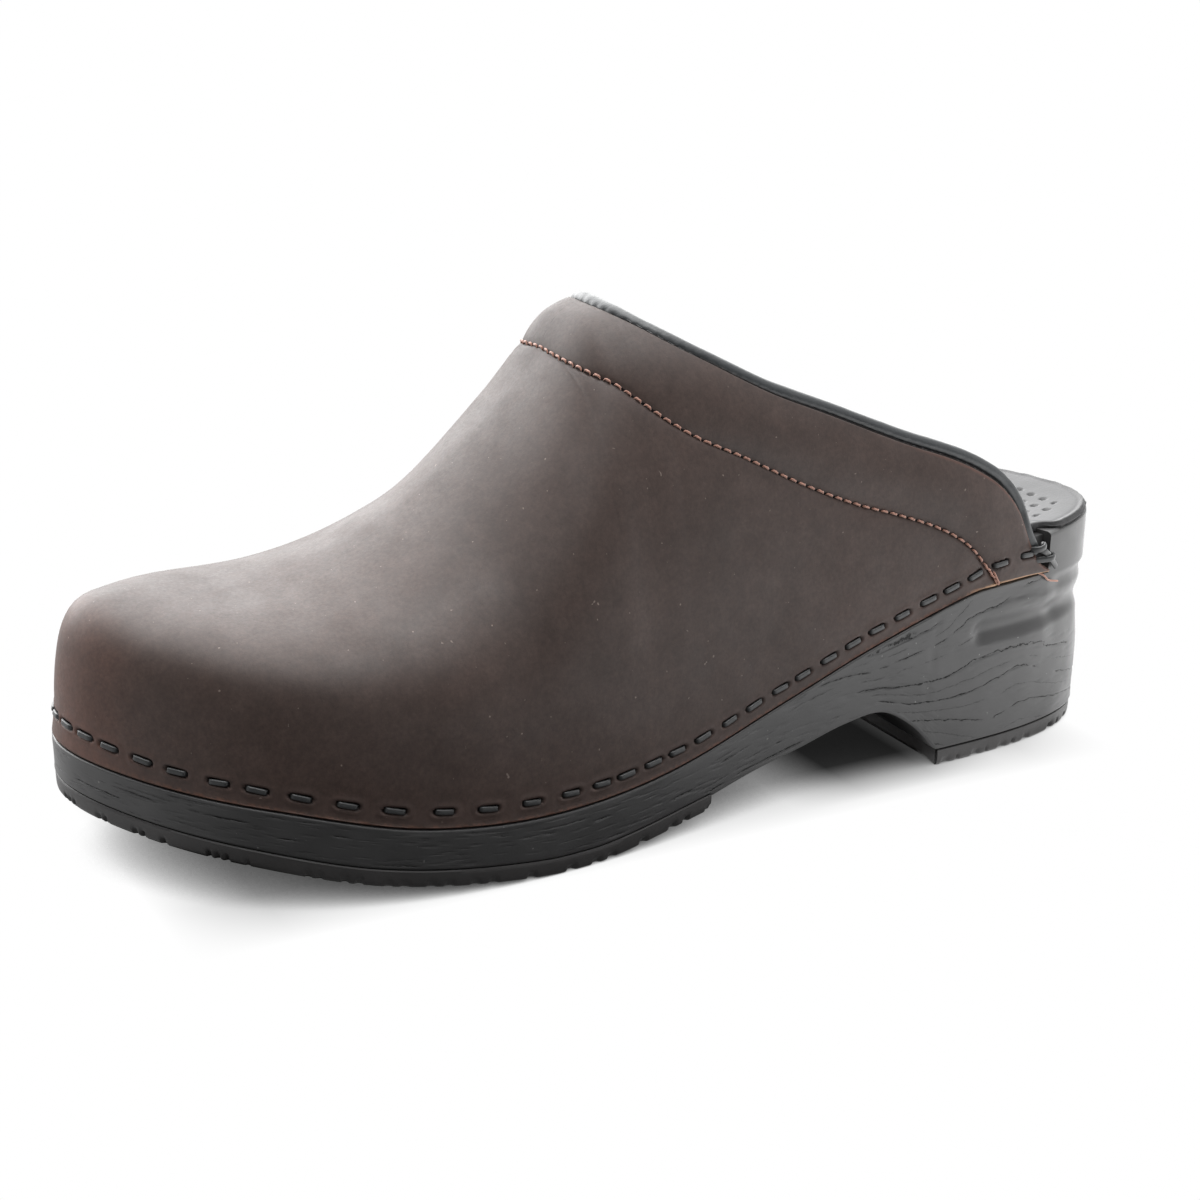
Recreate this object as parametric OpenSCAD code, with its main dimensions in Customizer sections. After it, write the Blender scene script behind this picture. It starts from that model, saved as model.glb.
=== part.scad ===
// Open-back clog, left foot: a moulded sole shell with a leather upper laced to it by a cord.
// Millimetres. Z is up, the toe points to -Y, the heel to +Y and the outer (little toe) side to +X.
// The origin is on the ground, under the middle of the clog.

/* [Size] */
// Length of the sole from toe to heel
sole_length = 290; // [280:1:300]
// Width of the sole across the ball of the foot
ball_width = 103; // [98:1:108]

/* [Sole] */
// Height of the heel block's rim above the ground at the back
heel_rim_z = 63.8; // [62:0.2:66]
// Thickness of the rubber tread under the forefoot
fore_tread_t = 4.7; // [4:0.1:5.4]
// Thickness of the rubber tread under the heel
heel_tread_t = 4.8; // [4:0.1:5.4]
// Depth of the grooves across the treads
tread_groove = 1.4; // [0.8:0.1:2]
// Width of the sole shell's standing flange, which the upper is laced to
flange_t = 2.5; // [2:0.1:3]
// Height of that flange above the ledge that the upper stands on
flange_h = 10; // [9:0.5:11]

/* [Footbed] */
// Thickness of the leather sock on top of the footbed
sock_t = 1.5; // [1:0.1:2]
// Thickness of the foam under the sock
foam_t = 4; // [3:0.5:5]
// Thickness of the fibre insole board
board_t = 2; // [1.5:0.1:2.5]

/* [Upper] */
// Thickness of the upper leather
leather_t = 2.2; // [1.8:0.1:2.3]
// Thickness of the lining
lining_t = 1.1; // [0.8:0.1:1.4]
// How far the padded collar swells out
collar_puff = 1.6; // [1:0.1:2]
// Radius of the rolled binding along the top line
binding_r = 2.3; // [2:0.1:2.6]

/* [Lacing] */
// Diameter of the lacing cord
cord_d = 1.7; // [1.5:0.1:2.2]
// Length of one stitch of the cord that shows
cord_stitch = 5.4; // [4.8:0.1:6]
// Distance from one stitch of the cord to the next
cord_pitch = 9.2; // [8.5:0.1:11]
// Height of the row of cord stitches above the upper's lower edge
cord_row = 4.8; // [4.2:0.1:5.5]
// Distance from one stitch of the collar seam to the next
seam_pitch = 3; // [2.8:0.1:4]

/* [Hidden] */

$fn = 48;
design_length = 290;
design_width = 103;
ky = sole_length / design_length;
kx = ball_width / design_width;
gap = 0.5;        // clearance between the flange and the leather
seat_gap = 0.3;   // clearance where one soft layer lies on another
far = 200;        // larger than anything in the clog

// Control points of the sole's outline as a closed cubic B-spline, from the back of the heel
// along the outer side to the toe and back along the inner side.
outline_ctrl = [for (p = [
    [11.5, 147], [29, 140], [38.5, 111], [39.5, 73], [40.5, 30.5], [48.5, -10.5], [53, -50.5],
    [48.5, -89], [36, -118.5], [15, -137], [-11, -149.5], [-35, -138], [-49, -105], [-53, -68],
    [-47, -25], [-36, 15], [-32, 55], [-33.5, 98], [-30, 132.5], [-11, 141]
]) [p.x * kx, p.y * ky]];
toe_span = [9, 11];       // spans between which the tip of the toe lies
outer_rear_t = 1.94;      // place on the outline where the upper ends, outer side
inner_rear_t = 17.52;     // the same on the inner side

// Heights along the length. Each pair is a list of places in Y and the heights there.
tread_y = [for (y = [-150, -115, -85, -55, -30, 6]) y * ky];
tread_z = [18.4, 12, 5.1, 1.2, 0, 5];
edge_y = [for (y = [-150, -110, -75, -40, -5, 30, 60, 90, 105, 120]) y * ky];
edge_z = [32.5, 26.3, 18.7, 16.4, 19.7, 29.2, 39.3, 48.1, 49.4, 49.5];
waist_y = [for (y = [6, 20, 35, 50, 62, 72, 80, 86]) y * ky];
waist_z = [9, 12.2, 15, 18.6, 19.5, 14, 6.1, -2.2];
sock_y = [for (y = [-150, -110, -75, -40, -5, 30, 60, 90, 113, 150]) y * ky];
sock_z = [39, 33.3, 25.7, 23.4, 27, 38, 49, 58, 61.9, 64.1];
ridge_y = [for (y = [-150, -130, -115, -95, -75, -55, -38, -24, -10, 20, 60, 120]) y * ky];
ridge_z = [82, 70, 66.9, 66.2, 71.3, 81.3, 95, 108.6, 125.4, 139, 141, 136];
top_y = [for (y = [-20, -5, 10, 30, 46, 67, 84, 93, 100.5, 106, 109, 111.5, 114, 117]) y * ky];
top_z = [137, 128.4, 119.4, 108.5, 101.7, 92.6, 86, 81.5, 76.2, 69.5, 62.5, 57.2, 53.6, 51.3];
drop_y = [for (y = [28, 58, 92, 106]) y * ky];
inner_drop = [0, 2.7, 2.7, 0];     // the top line is this much lower on the inner side
seam_y = [for (y = [-22, -15, -6.5, 5.5, 20, 36, 52, 66, 79, 88.5, 95.5, 99]) y * ky];
seam_z = [118.5, 115.8, 109.5, 101.2, 93.8, 85.4, 78.2, 73.3, 68, 62, 54.2, 49.6];
// Shape of the arch from wall to ridge: higher values are more square
shape_y = [for (y = [-145, -125, -105, -85, -65, -45, -15, 0]) y * ky];
flat_exp = [4.3, 5.5, 6.5, 7, 7, 5, 2.5, 2.3];
wall_exp = [4.6, 5.5, 6, 6, 5.5, 4.2, 2.1, 2];
roof = [0, 0.04, 0.1, 0.19, 0.27, 0.3, 0, 0];   // share of its height the arch falls before the wall
roof_exp = 1.7;
lean = [0.08, 0.073, 0.062, 0.05, 0.042, 0.04, 0.04, 0.04];
ridge_x = -7;
spine_y = -95 * ky;   // behind this the arches are square to the length, ahead they fan out
spine_blend = 24;
rim_slope = 0.06;     // the heel block's rim falls a little towards the front

// Smooth curve through the heights zs at the places ys
function span_of(ys, y, i = 0) = (i >= len(ys) - 2 || y < ys[i + 1]) ? i : span_of(ys, y, i + 1);
function slope_at(ys, zs, i) =
    let (a = max(i - 1, 0), b = min(i + 1, len(ys) - 1)) (zs[b] - zs[a]) / (ys[b] - ys[a]);
function curve(ys, zs, y) =
    let (
        c = min(max(y, ys[0]), ys[len(ys) - 1]),
        i = span_of(ys, c),
        h = ys[i + 1] - ys[i],
        u = (c - ys[i]) / h,
        v = 1 - u
    )
    zs[i] * v * v * (1 + 2 * u) + slope_at(ys, zs, i) * h * u * v * v
    + zs[i + 1] * u * u * (3 - 2 * u) - slope_at(ys, zs, i + 1) * h * u * u * v;

function edge_at(y) = curve(edge_y, edge_z, y);
function sock_at(y) = curve(sock_y, sock_z, y);
function ridge_at(y) = curve(ridge_y, ridge_z, y);
function top_at(y, side = 1) =
    curve(top_y, top_z, y) - (side < 0 ? curve(drop_y, inner_drop, y) : 0);
function seam_at(y) = curve(seam_y, seam_z, y);
function tread_at(y) = max(0, curve(tread_y, tread_z, y));
function rim_at(y) = heel_rim_z - rim_slope * (sole_length / 2 - y);

// Outline of the sole at the parameter t, and the unit normal pointing out of it
function ctrl(i) = outline_ctrl[(i + len(outline_ctrl)) % len(outline_ctrl)];
function outline_at(t) =
    let (i = floor(t), u = t - i, v = 1 - u)
    (v * v * v * ctrl(i - 1) + (3 * u * u * u - 6 * u * u + 4) * ctrl(i)
        + (3 * v * v * v - 6 * v * v + 4) * ctrl(i + 1) + u * u * u * ctrl(i + 2)) / 6;
function normal_at(t) =
    let (d = outline_at(t + 0.01) - outline_at(t - 0.01)) [-d.y, d.x] / norm(d);
function outline(inset = 0, steps = 6) = [
    for (k = [0 : len(outline_ctrl) * steps - 1])
        let (t = k / steps) outline_at(t) - inset * normal_at(t)
];

// Parameter of the toe's tip, and of the point at a given y on each side
function tip_search(a, b, n = 24) =
    let (m = (a + b) / 2)
    n == 0 ? m : outline_at(m + 0.001).y < outline_at(m - 0.001).y
        ? tip_search(m, b, n - 1) : tip_search(a, m, n - 1);
tip_t = tip_search(toe_span[0], toe_span[1]);
function inner_search(y, a, b, n = 24) =
    let (m = (a + b) / 2)
    n == 0 ? m : outline_at(m).y < y ? inner_search(y, m, b, n - 1) : inner_search(y, a, m, n - 1);
function outer_search(y, a, b, n = 24) =
    let (m = (a + b) / 2)
    n == 0 ? m : outline_at(m).y > y ? outer_search(y, m, b, n - 1) : outer_search(y, a, m, n - 1);
function side_t(side, y) = side > 0 ? outer_search(y, 1, tip_t) : inner_search(y, tip_t, 18.5);

// The upper's skin. A ray runs from the wall at parameter t to the ridge; phi goes from 0 at the
// lower edge to 90 at the ridge, and d is the depth below the outer face.
function ridge_foot(y) =
    let (e = y - spine_y)
    [ridge_x, spine_y + (e + sqrt(e * e + spine_blend * spine_blend)) / 2];
function arch_out(y, phi) = pow(cos(phi), 2 / curve(shape_y, flat_exp, y));
function arch_up(y, phi) =
    pow(sin(phi), 2 / curve(shape_y, wall_exp, y))
        * (1 - curve(shape_y, roof, y) * pow(arch_out(y, phi), roof_exp));
function skin_base(t, phi, d) =
    let (
        wall = outline_at(t),
        y = wall.y,
        foot = ridge_foot(y),
        s = arch_out(y, phi),
        w = arch_up(y, phi),
        p = foot + (wall - d * normal_at(t) - foot) * s * (1 - curve(shape_y, lean, y) * w),
        z0 = edge_at(y)
    )
    [p.x, p.y, z0 + (ridge_at(p.y) - d - z0) * w];
// Place across the collar: 0 at the seam and 1 at the top line
function collar_place(p) = (p.z - seam_at(p.y)) / (top_at(p.y, p.x - ridge_x) - seam_at(p.y));
function puff(c) = (c <= 0 || c >= 1) ? 0 : collar_puff * pow(sin(180 * c), 0.8);
function skin(t, phi, d, padded = true) =
    skin_base(t, phi, padded ? d - puff(collar_place(skin_base(t, phi, 0))) : d);
// The phi at which the ray from the wall at y reaches the height z
function phi_search(y, up, a, b, n = 24) =
    let (m = (a + b) / 2)
    n == 0 ? m : arch_up(y, m) < up ? phi_search(y, up, m, b, n - 1) : phi_search(y, up, a, m, n - 1);
function phi_at(y, z) =
    let (
        foot = ridge_foot(y),
        z0 = edge_at(y),
        up = min(max((z - z0) / (ridge_at(foot.y) - z0), 0), 1)
    )
    (up == 1 || curve(shape_y, roof, y) == 0) ? asin(pow(up, curve(shape_y, wall_exp, y) / 2))
        : phi_search(y, up, 0, 90);
// Where the line at the place c of the collar crosses the ridge
function throat_search(c, a, b, n = 24) =
    let (m = (a + b) / 2, z = seam_at(m) + c * (top_at(m) - seam_at(m)))
    n == 0 ? m
        : ridge_at(ridge_foot(m).y) < z ? throat_search(c, m, b, n - 1) : throat_search(c, a, m, n - 1);
throat_span = [-40 * ky, 20 * ky];    // places in Y between which the collar crosses the ridge
throat_y = throat_search(1, throat_span[0], throat_span[1]);
rear_y = 117 * ky;                    // rear end of the upper's lower edge
seam_rear_y = 99 * ky;                // where the collar seam meets the lower edge

// A face seen from its other side
function flip(q) = [q[3], q[2], q[1], q[0]];

// A closed layer of the upper between the depths d_out and d_in, with its lower edge lifted above
// the ledge, n faces high
module layer(ys, d_out, d_in, lift, padded, n) {
    // Rows run from the outer side round the toe to the inner side. Opposite rows ahead of the
    // throat meet at the ridge and share their top point
    k = len(ys);
    row_t = [
        for (y = ys) side_t(1, y),
        tip_t,
        for (i = [k - 1 : -1 : 0]) side_t(-1, ys[i])
    ];
    last = len(row_t) - 1;
    row_y = [for (t = row_t) outline_at(t).y];
    closed = [for (i = [0 : last]) row_y[i] <= throat_y + 0.01];
    function id(i, j, side) =
        let (partner = (j == n && closed[i] && i > last / 2) ? last - i : i)
        side * (last + 1) * (n + 1) + partner * (n + 1) + j;
    function spread(v, y) =
        let (a = curve(shape_y, wall_exp, y) / 2, b = curve(shape_y, flat_exp, y) / 2)
        pow(v, a) / (pow(v, a) + pow(1 - v, b));
    points = [
        for (d = [d_out, d_in]) for (i = [0 : last])
            let (
                low = lift > 0 ? phi_at(row_y[i], edge_at(row_y[i]) + lift) : 0,
                high = closed[i] ? 90 : phi_at(row_y[i], top_at(row_y[i], last / 2 - i))
            )
            for (j = [0 : n])
                skin(row_t[i], low + (high - low) * (low > 0 ? j / n : spread(j / n, row_y[i])),
                    d, padded) + [0, 0, j == 0 && lift == 0 ? seat_gap : 0]
    ];
    quads = [
        for (i = [0 : last - 1]) for (j = [0 : n - 1])
            [id(i, j, 0), id(i, j + 1, 0), id(i + 1, j + 1, 0), id(i + 1, j, 0)],
        for (i = [0 : last - 1]) for (j = [0 : n - 1])
            flip([id(i, j, 1), id(i, j + 1, 1), id(i + 1, j + 1, 1), id(i + 1, j, 1)]),
        for (i = [0 : last - 1]) [id(i, 0, 0), id(i + 1, 0, 0), id(i + 1, 0, 1), id(i, 0, 1)],
        for (i = [0 : last - 1]) if (!(closed[i] && closed[i + 1]))
            [id(i, n, 0), id(i, n, 1), id(i + 1, n, 1), id(i + 1, n, 0)],
        for (j = [0 : n - 1]) [id(0, j, 0), id(0, j, 1), id(0, j + 1, 1), id(0, j + 1, 0)],
        for (j = [0 : n - 1])
            [id(last, j + 1, 0), id(last, j + 1, 1), id(last, j, 1), id(last, j, 0)]
    ];
    polyhedron(points, [for (q = quads) each [[q[0], q[1], q[2]], [q[0], q[2], q[3]]]]);
}

// Places in Y for the rows of a layer, closer together at the throat and at the toe
function rows_from(rear, n_rear, n_front) = [
    for (i = [0 : n_rear - 1]) let (u = 1 - i / n_rear) throat_y + (rear - throat_y) * u * u,
    for (i = [0 : n_front - 1])
        throat_y + (outline_at(tip_t).y - throat_y) * sin(90 * i / n_front)
];

// A point of the collar: u from -1 on the inner side to 1 on the outer side, c across the collar
function collar_point(u, c, d, padded = true, rear = 0) =
    let (
        y0 = throat_search(c, throat_span[0], throat_span[1]),
        y = y0 + (seam_rear_y + c * (rear_y - seam_rear_y) - rear - y0) * u * u,
        phi = abs(u) < 0.001 ? 90 : phi_at(y, seam_at(y) + c * (top_at(y, u) - seam_at(y)))
    )
    skin(side_t(u < 0 ? -1 : 1, y), phi, d, padded);

// A closed band of the collar from place c0 to c1 and from depth d_out to d_in
module collar_band(c0, c1, d_out, d_in, n_u, n_c) {
    points = [
        for (d = [d_out, d_in]) for (i = [0 : n_u]) for (j = [0 : n_c])
            collar_point(-1 + 2 * i / n_u, c0 + (c1 - c0) * j / n_c, d, d == d_out, band_back)
    ];
    function id(i, j, side) = (side * (n_u + 1) + i) * (n_c + 1) + j;
    quads = [
        for (i = [0 : n_u - 1]) for (j = [0 : n_c - 1])
            flip([id(i, j, 0), id(i, j + 1, 0), id(i + 1, j + 1, 0), id(i + 1, j, 0)]),
        for (i = [0 : n_u - 1]) for (j = [0 : n_c - 1])
            [id(i, j, 1), id(i, j + 1, 1), id(i + 1, j + 1, 1), id(i + 1, j, 1)],
        for (j = [0, n_c]) for (i = [0 : n_u - 1])
            let (q = [id(i, j, 0), id(i + 1, j, 0), id(i + 1, j, 1), id(i, j, 1)])
            j == 0 ? flip(q) : q,
        for (i = [0, n_u]) for (j = [0 : n_c - 1])
            let (q = [id(i, j, 0), id(i, j + 1, 0), id(i, j + 1, 1), id(i, j, 1)])
            i == 0 ? q : flip(q)
    ];
    polyhedron(points, [for (q = quads) each [[q[0], q[1], q[2]], [q[0], q[2], q[3]]]]);
}

// A round tube of radius r along a path, where side gives a direction square to the path
module tube(path, side, r, n = 8) {
    last = len(path) - 1;
    points = [
        for (i = [0 : last])
            let (
                run = path[min(i + 1, last)] - path[max(i - 1, 0)],
                f = run / norm(run),
                a = side[i] - (side[i] * f) * f,
                b = cross(f, a / norm(a))
            )
            for (j = [0 : n - 1]) path[i] + r * (cos(360 * j / n) * a / norm(a) + sin(360 * j / n) * b)
    ];
    polyhedron(points, [
        [for (j = [n - 1 : -1 : 0]) j],
        for (i = [0 : last - 1]) for (j = [0 : n - 1])
            let (q = [i * n + j, i * n + (j + 1) % n, (i + 1) * n + (j + 1) % n, (i + 1) * n + j])
            each [[q[0], q[1], q[2]], [q[0], q[2], q[3]]],
        [for (j = [0 : n - 1]) last * n + j]
    ]);
}

// Lengths along a path, and the point at a given length
function lengths(path) = [for (i = 0, s = 0; i < len(path);
    s = s + (i + 1 < len(path) ? norm(path[i + 1] - path[i]) : 0), i = i + 1) s];
function point_at(path, ls, s) =
    let (i = span_of(ls, s), u = (s - ls[i]) / (ls[i + 1] - ls[i]))
    path[i] * (1 - u) + path[i + 1] * u;

// A short rod from a to b
module rod(a, b, d) {
    v = b - a;
    translate(a)
        rotate([0, acos(v.z / norm(v)), atan2(v.y, v.x)])
            cylinder(h = norm(v), d = d, $fn = 24);
}

// Stitches of the given length laid along a path, one for each pitch
module stitches(path, pitch, stitch, d) {
    ls = lengths(path);
    count = floor((ls[len(ls) - 1] - stitch) / pitch);
    start = (ls[len(ls) - 1] - count * pitch - stitch) / 2;
    for (i = [0 : count]) {
        s = start + i * pitch;
        rod(point_at(path, ls, s), point_at(path, ls, s + stitch), d);
    }
}

slab_steps = 58;
slab_end = 152 * ky;
below = -10;       // lower than any part of the clog
// A slab that follows the sole: between the heights low and high, inside the outline
module slab(low, high, inset, y0 = -far, y1 = far) {
    ys = [for (i = [0 : slab_steps]) slab_end * (2 * i / slab_steps - 1)];
    side = concat([for (y = ys) [y, high(y)]], [for (i = [slab_steps : -1 : 0]) [ys[i], low(ys[i])]]);
    intersection() {
        translate([0, 0, below]) linear_extrude(far) polygon(outline(inset));
        translate([far / 2, 0, 0]) rotate([90, 0, -90]) linear_extrude(far) mirror([1, 0]) polygon(side);
        translate([-far, y0, below]) cube([2 * far, y1 - y0, far]);
    }
}

fore_end = 6 * ky;
breast_y = 82 * ky;
block_y = 118.5 * ky;       // front of the heel block's full-width rim
layer_inset = leather_t + gap;
cavity_inset = layer_inset + flange_t;
lining_out = leather_t + 1.1;
lining_foot = flange_h + 0.4;     // height of the lining's lower edge above the ledge
lining_rear_y = 104 * ky;         // the top line is down on the flange behind this place
layer_gap = 0.15;                 // clearance on each side of a layer inside the upper
binding_depth = (lining_out + lining_t) / 2;
shank_t = 1.6;
shank_x = [-8, 6];
shank_y = [-22 * ky, 88 * ky];
shank_gap = 0.3;
groove_w = 1.6;
groove_pitch = 10.5;
fore_groove_y = -132 * ky;  // first groove of the forefoot tread
fore_grooves = 13;
heel_groove_y = breast_y + 9 * ky;
heel_grooves = 5;
tread_gap = 0.05;
fore_tread_inset = 0.3;
heel_tread_inset = 1.1;
board_inset = cavity_inset + 0.4;
sock_inset = cavity_inset + 0.3;
rim_inset = 0.6;            // the sock's edge stays this far inside the heel block's rim
heel_pad_r = 21;
arch_pad_r = 50;
pad_gap = 0.4;
puff_rear_y = -78 * ky;      // rear edge of the toe puff
knot_r = 2.3;
knot_y = 115 * ky;
binding_end = 0.975;        // the binding stops this far along the top line, before the rear corner
band_back = 3;              // hidden bands of the collar end this far before its rear end
thread_d = 0.6;
thread_lift = 0.35;         // middle of the seam threads above the leather
seam_stitch = 2.1;
binding_seam = 0.975;       // place of the binding's seam across the collar
knot_lift = 5.2;            // height of the knot above the ledge
knot_tail = [0, 5, -4.6];
tail_d = 2.1;
stack_t = sock_t + foam_t + board_t + 2 * seat_gap;

// Underside of the shell: on the forefoot tread, over the arched waist, on the heel tread
function under_at(y) =
    y < fore_end ? tread_at(y) + fore_tread_t + tread_gap
    : max(curve(waist_y, waist_z, y), heel_tread_t + tread_gap);
function flange_at(y) = edge_at(y) + flange_h;
function floor_at(y) = sock_at(y) - stack_t - 0.1;

// Moulded sole shell: body, ledge, lacing flange and heel block, with the footbed cavity
module sole_shell() {
    color([0.07, 0.065, 0.065]) difference() {
        union() {
            slab(function (y) under_at(y), function (y) edge_at(y), 0, -far, block_y);
            slab(function (y) under_at(y), function (y) rim_at(y) - sock_t - 0.1, 0, block_y - 0.01, far);
            slab(function (y) edge_at(y) - 3, function (y) flange_at(y), layer_inset, -far, block_y);
        }
        slab(function (y) floor_at(y), function (y) far / 2, cavity_inset, -far, far);
        strip(function (y) floor_at(y) - shank_t - 0.1, function (y) floor_at(y) + 1,
            shank_x + [-shank_gap, shank_gap], shank_y + [-shank_gap, shank_gap]);
    }
}

// A strip that follows the sole between two heights and within the spans xs and ys
module strip(low, high, xs, ys) {
    n = 24;
    steps = [for (i = [0 : n]) ys[0] + i * (ys[1] - ys[0]) / n];
    side = concat([for (y = steps) [y, high(y)]], [for (i = [n : -1 : 0]) [steps[i], low(steps[i])]]);
    translate([xs[0], 0, 0]) rotate([90, 0, 90]) linear_extrude(xs[1] - xs[0]) polygon(side);
}

// Grooves straight across a tread, cut from below at the places ys
module tread_grooves(ys) {
    for (y = ys)
        translate([-far / 2, y, (y < fore_end ? tread_at(y) : 0) - far + tread_groove])
            cube([far, groove_w, far]);
}

module forefoot_tread() {
    color([0.05, 0.045, 0.045]) difference() {
        slab(function (y) tread_at(y), function (y) tread_at(y) + fore_tread_t,
            fore_tread_inset, -far, fore_end);
        tread_grooves([for (i = [0 : fore_grooves - 1]) fore_groove_y + i * groove_pitch * ky]);
    }
}

module heel_tread() {
    color([0.05, 0.045, 0.045]) difference() {
        slab(function (y) 0, function (y) heel_tread_t, heel_tread_inset, breast_y, far);
        tread_grooves([for (i = [0 : heel_grooves - 1]) heel_groove_y + i * groove_pitch]);
    }
}

// Stiff strip in a channel under the insole board, across the waist
module shank() {
    color([0.5, 0.5, 0.52])
        strip(function (y) floor_at(y) - shank_t, function (y) floor_at(y) - 0.1, shank_x, shank_y);
}

module insole_board() {
    color([0.55, 0.45, 0.33])
        slab(function (y) floor_at(y) + 0.05, function (y) floor_at(y) + board_t, board_inset);
}

function foam_low(y) = floor_at(y) + board_t + seat_gap;
function foam_high(y) = foam_low(y) + foam_t;

// Place of the shock-absorbing pad in the foam under the heel bone
module heel_pad_space(r) { translate([2, 108 * ky, 0]) cylinder(r = r, h = far); }
// Place of the arch pad in the foam, at the inner side of the waist
module arch_pad_space(r) { translate([-76 * kx, 24 * ky, 0]) cylinder(r = r, h = far, $fn = 96); }

module footbed_foam() {
    color([0.3, 0.3, 0.32]) difference() {
        slab(function (y) foam_low(y), function (y) foam_high(y), board_inset);
        heel_pad_space(heel_pad_r + pad_gap);
        arch_pad_space(arch_pad_r + pad_gap);
    }
}

module heel_pad() {
    color([0.2, 0.35, 0.6]) intersection() {
        slab(function (y) foam_low(y), function (y) foam_high(y), board_inset);
        heel_pad_space(heel_pad_r);
    }
}

module arch_pad() {
    color([0.75, 0.6, 0.42]) intersection() {
        slab(function (y) foam_low(y), function (y) foam_high(y), board_inset);
        arch_pad_space(arch_pad_r);
    }
}

// Leather sock: inside the flange at the front, and over the whole rim of the heel block
module sock_liner() {
    color([0.2, 0.2, 0.21]) union() {
        slab(function (y) sock_at(y) - sock_t, function (y) sock_at(y), sock_inset,
            -far, block_y + 1);
        slab(function (y) rim_at(y) - sock_t, function (y) rim_at(y), rim_inset, block_y + 0.1, far);
    }
}

module leather_upper() {
    color([0.2, 0.13, 0.11]) layer(rows_from(rear_y, 13, 22), 0, leather_t, 0, true, 14);
}

// The lining stands on the flange, so it ends where the top line comes down to it
module vamp_lining() {
    color([0.35, 0.3, 0.26])
        layer(rows_from(lining_rear_y, 9, 16), lining_out, lining_out + lining_t, lining_foot, false, 8);
}

// Stiffener that keeps the toe box in shape, between the leather and the lining
module toe_puff() {
    tip = outline_at(tip_t).y;
    color([0.75, 0.7, 0.6])
        layer([for (i = [0 : 11]) puff_rear_y + (tip - puff_rear_y) * sin(90 * i / 12)],
            leather_t + layer_gap, lining_out - layer_gap, lining_foot, false, 7);
}

module collar_padding() {
    color([0.85, 0.8, 0.5]) collar_band(0.08, 0.76, leather_t + layer_gap, lining_out - layer_gap, 44, 4);
}

// Tape that keeps the top line from stretching
module topline_tape() {
    color([0.9, 0.9, 0.88]) collar_band(0.8, 0.96, leather_t + layer_gap, lining_out - layer_gap, 44, 1);
}

// Middle line of the binding: beyond the edge of the leather, and outside the flange at its ends
function binding_point(u) =
    let (
        edge = collar_point(u, 1, 0),
        below = collar_point(u, 0.96, 0),
        up = (edge - below) / norm(edge - below),
        rise = (edge.z - edge_at(edge.y) - flange_h - 1) / 6,
        deep = 0.1 + (binding_depth - 0.1) * min(max(rise, 0), 1)
    )
    collar_point(u, 1, deep) + (binding_r + 0.3) * up;
function binding_side(u) = collar_point(u, 1, -1) - collar_point(u, 1, 0);

module topline_binding() {
    n = 64;
    us = [for (i = [0 : n]) binding_end * (2 * i / n - 1)];
    color([0.09, 0.1, 0.11])
        tube([for (u = us) binding_point(u)], [for (u = us) binding_side(u)], binding_r, 10);
}

// Path over the collar at the place c, at the height h above the leather
function collar_path(c, h, n = 90) = [for (i = [0 : n]) collar_point(-1 + 2 * i / n, c, -h)];

module binding_stitching() {
    color([0.04, 0.04, 0.04])
        stitches(collar_path(binding_seam, thread_lift), seam_pitch, seam_stitch, thread_d);
}

module collar_stitching() {
    color([0.5, 0.26, 0.18]) stitches(collar_path(0, thread_lift), seam_pitch, seam_stitch, thread_d);
}

// Loose ends of the collar seam: one below the seam's end and one at the rear corner of the edge
module seam_thread_tails() {
    color([0.5, 0.26, 0.18]) for (side = [-1, 1]) {
        start = collar_point(side, 0, -0.45) + [0, 1, -1.2];
        rod(start, start + [0, 1.6, -2.6], thread_d);
        t = side_t(side, rear_y - 2 * ky);
        tip = skin(t, 0, -0.5) + [0, 0, 1];
        rod(tip, tip + [side * 0.8, 5, -2.4], thread_d);
    }
}

// Line of the cord stitches round the upper, outside the leather by half the cord
cord_path = [
    for (i = [0 : 220])
        let (
            t = outer_rear_t + 0.02 + i * (inner_rear_t - outer_rear_t - 0.04) / 220,
            y = outline_at(t).y
        )
        skin(t, phi_at(y, edge_at(y) + cord_row), -cord_d / 2 - 0.15)
];

module lacing_cord() {
    color([0.06, 0.065, 0.07]) stitches(cord_path, cord_pitch, cord_stitch, cord_d);
}

// Knot at the end of the lacing, behind the lower end of the binding, with its cut tail
module cord_knot(side) {
    t = side_t(side, knot_y);
    middle = concat(outline_at(t), edge_at(knot_y) + knot_lift)
        + concat((knot_r + 0.4) * normal_at(t), 0);
    color([0.06, 0.065, 0.07]) union() {
        translate(middle) sphere(r = knot_r);
        rod(middle, middle + knot_tail, tail_d);
        rod(middle, middle + [side * 0.4, -3.6, 1.4], tail_d);
    }
}

module cord_knot_outer() { cord_knot(1); }
module cord_knot_inner() { cord_knot(-1); }

sole_shell();
forefoot_tread();
heel_tread();
shank();
insole_board();
footbed_foam();
heel_pad();
arch_pad();
sock_liner();
leather_upper();
vamp_lining();
toe_puff();
collar_padding();
topline_tape();
topline_binding();
binding_stitching();
collar_stitching();
seam_thread_tails();
lacing_cord();
cord_knot_outer();
cord_knot_inner();
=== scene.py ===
import math

import bmesh
import bpy
import numpy as np
from mathutils import Matrix, Vector


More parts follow.
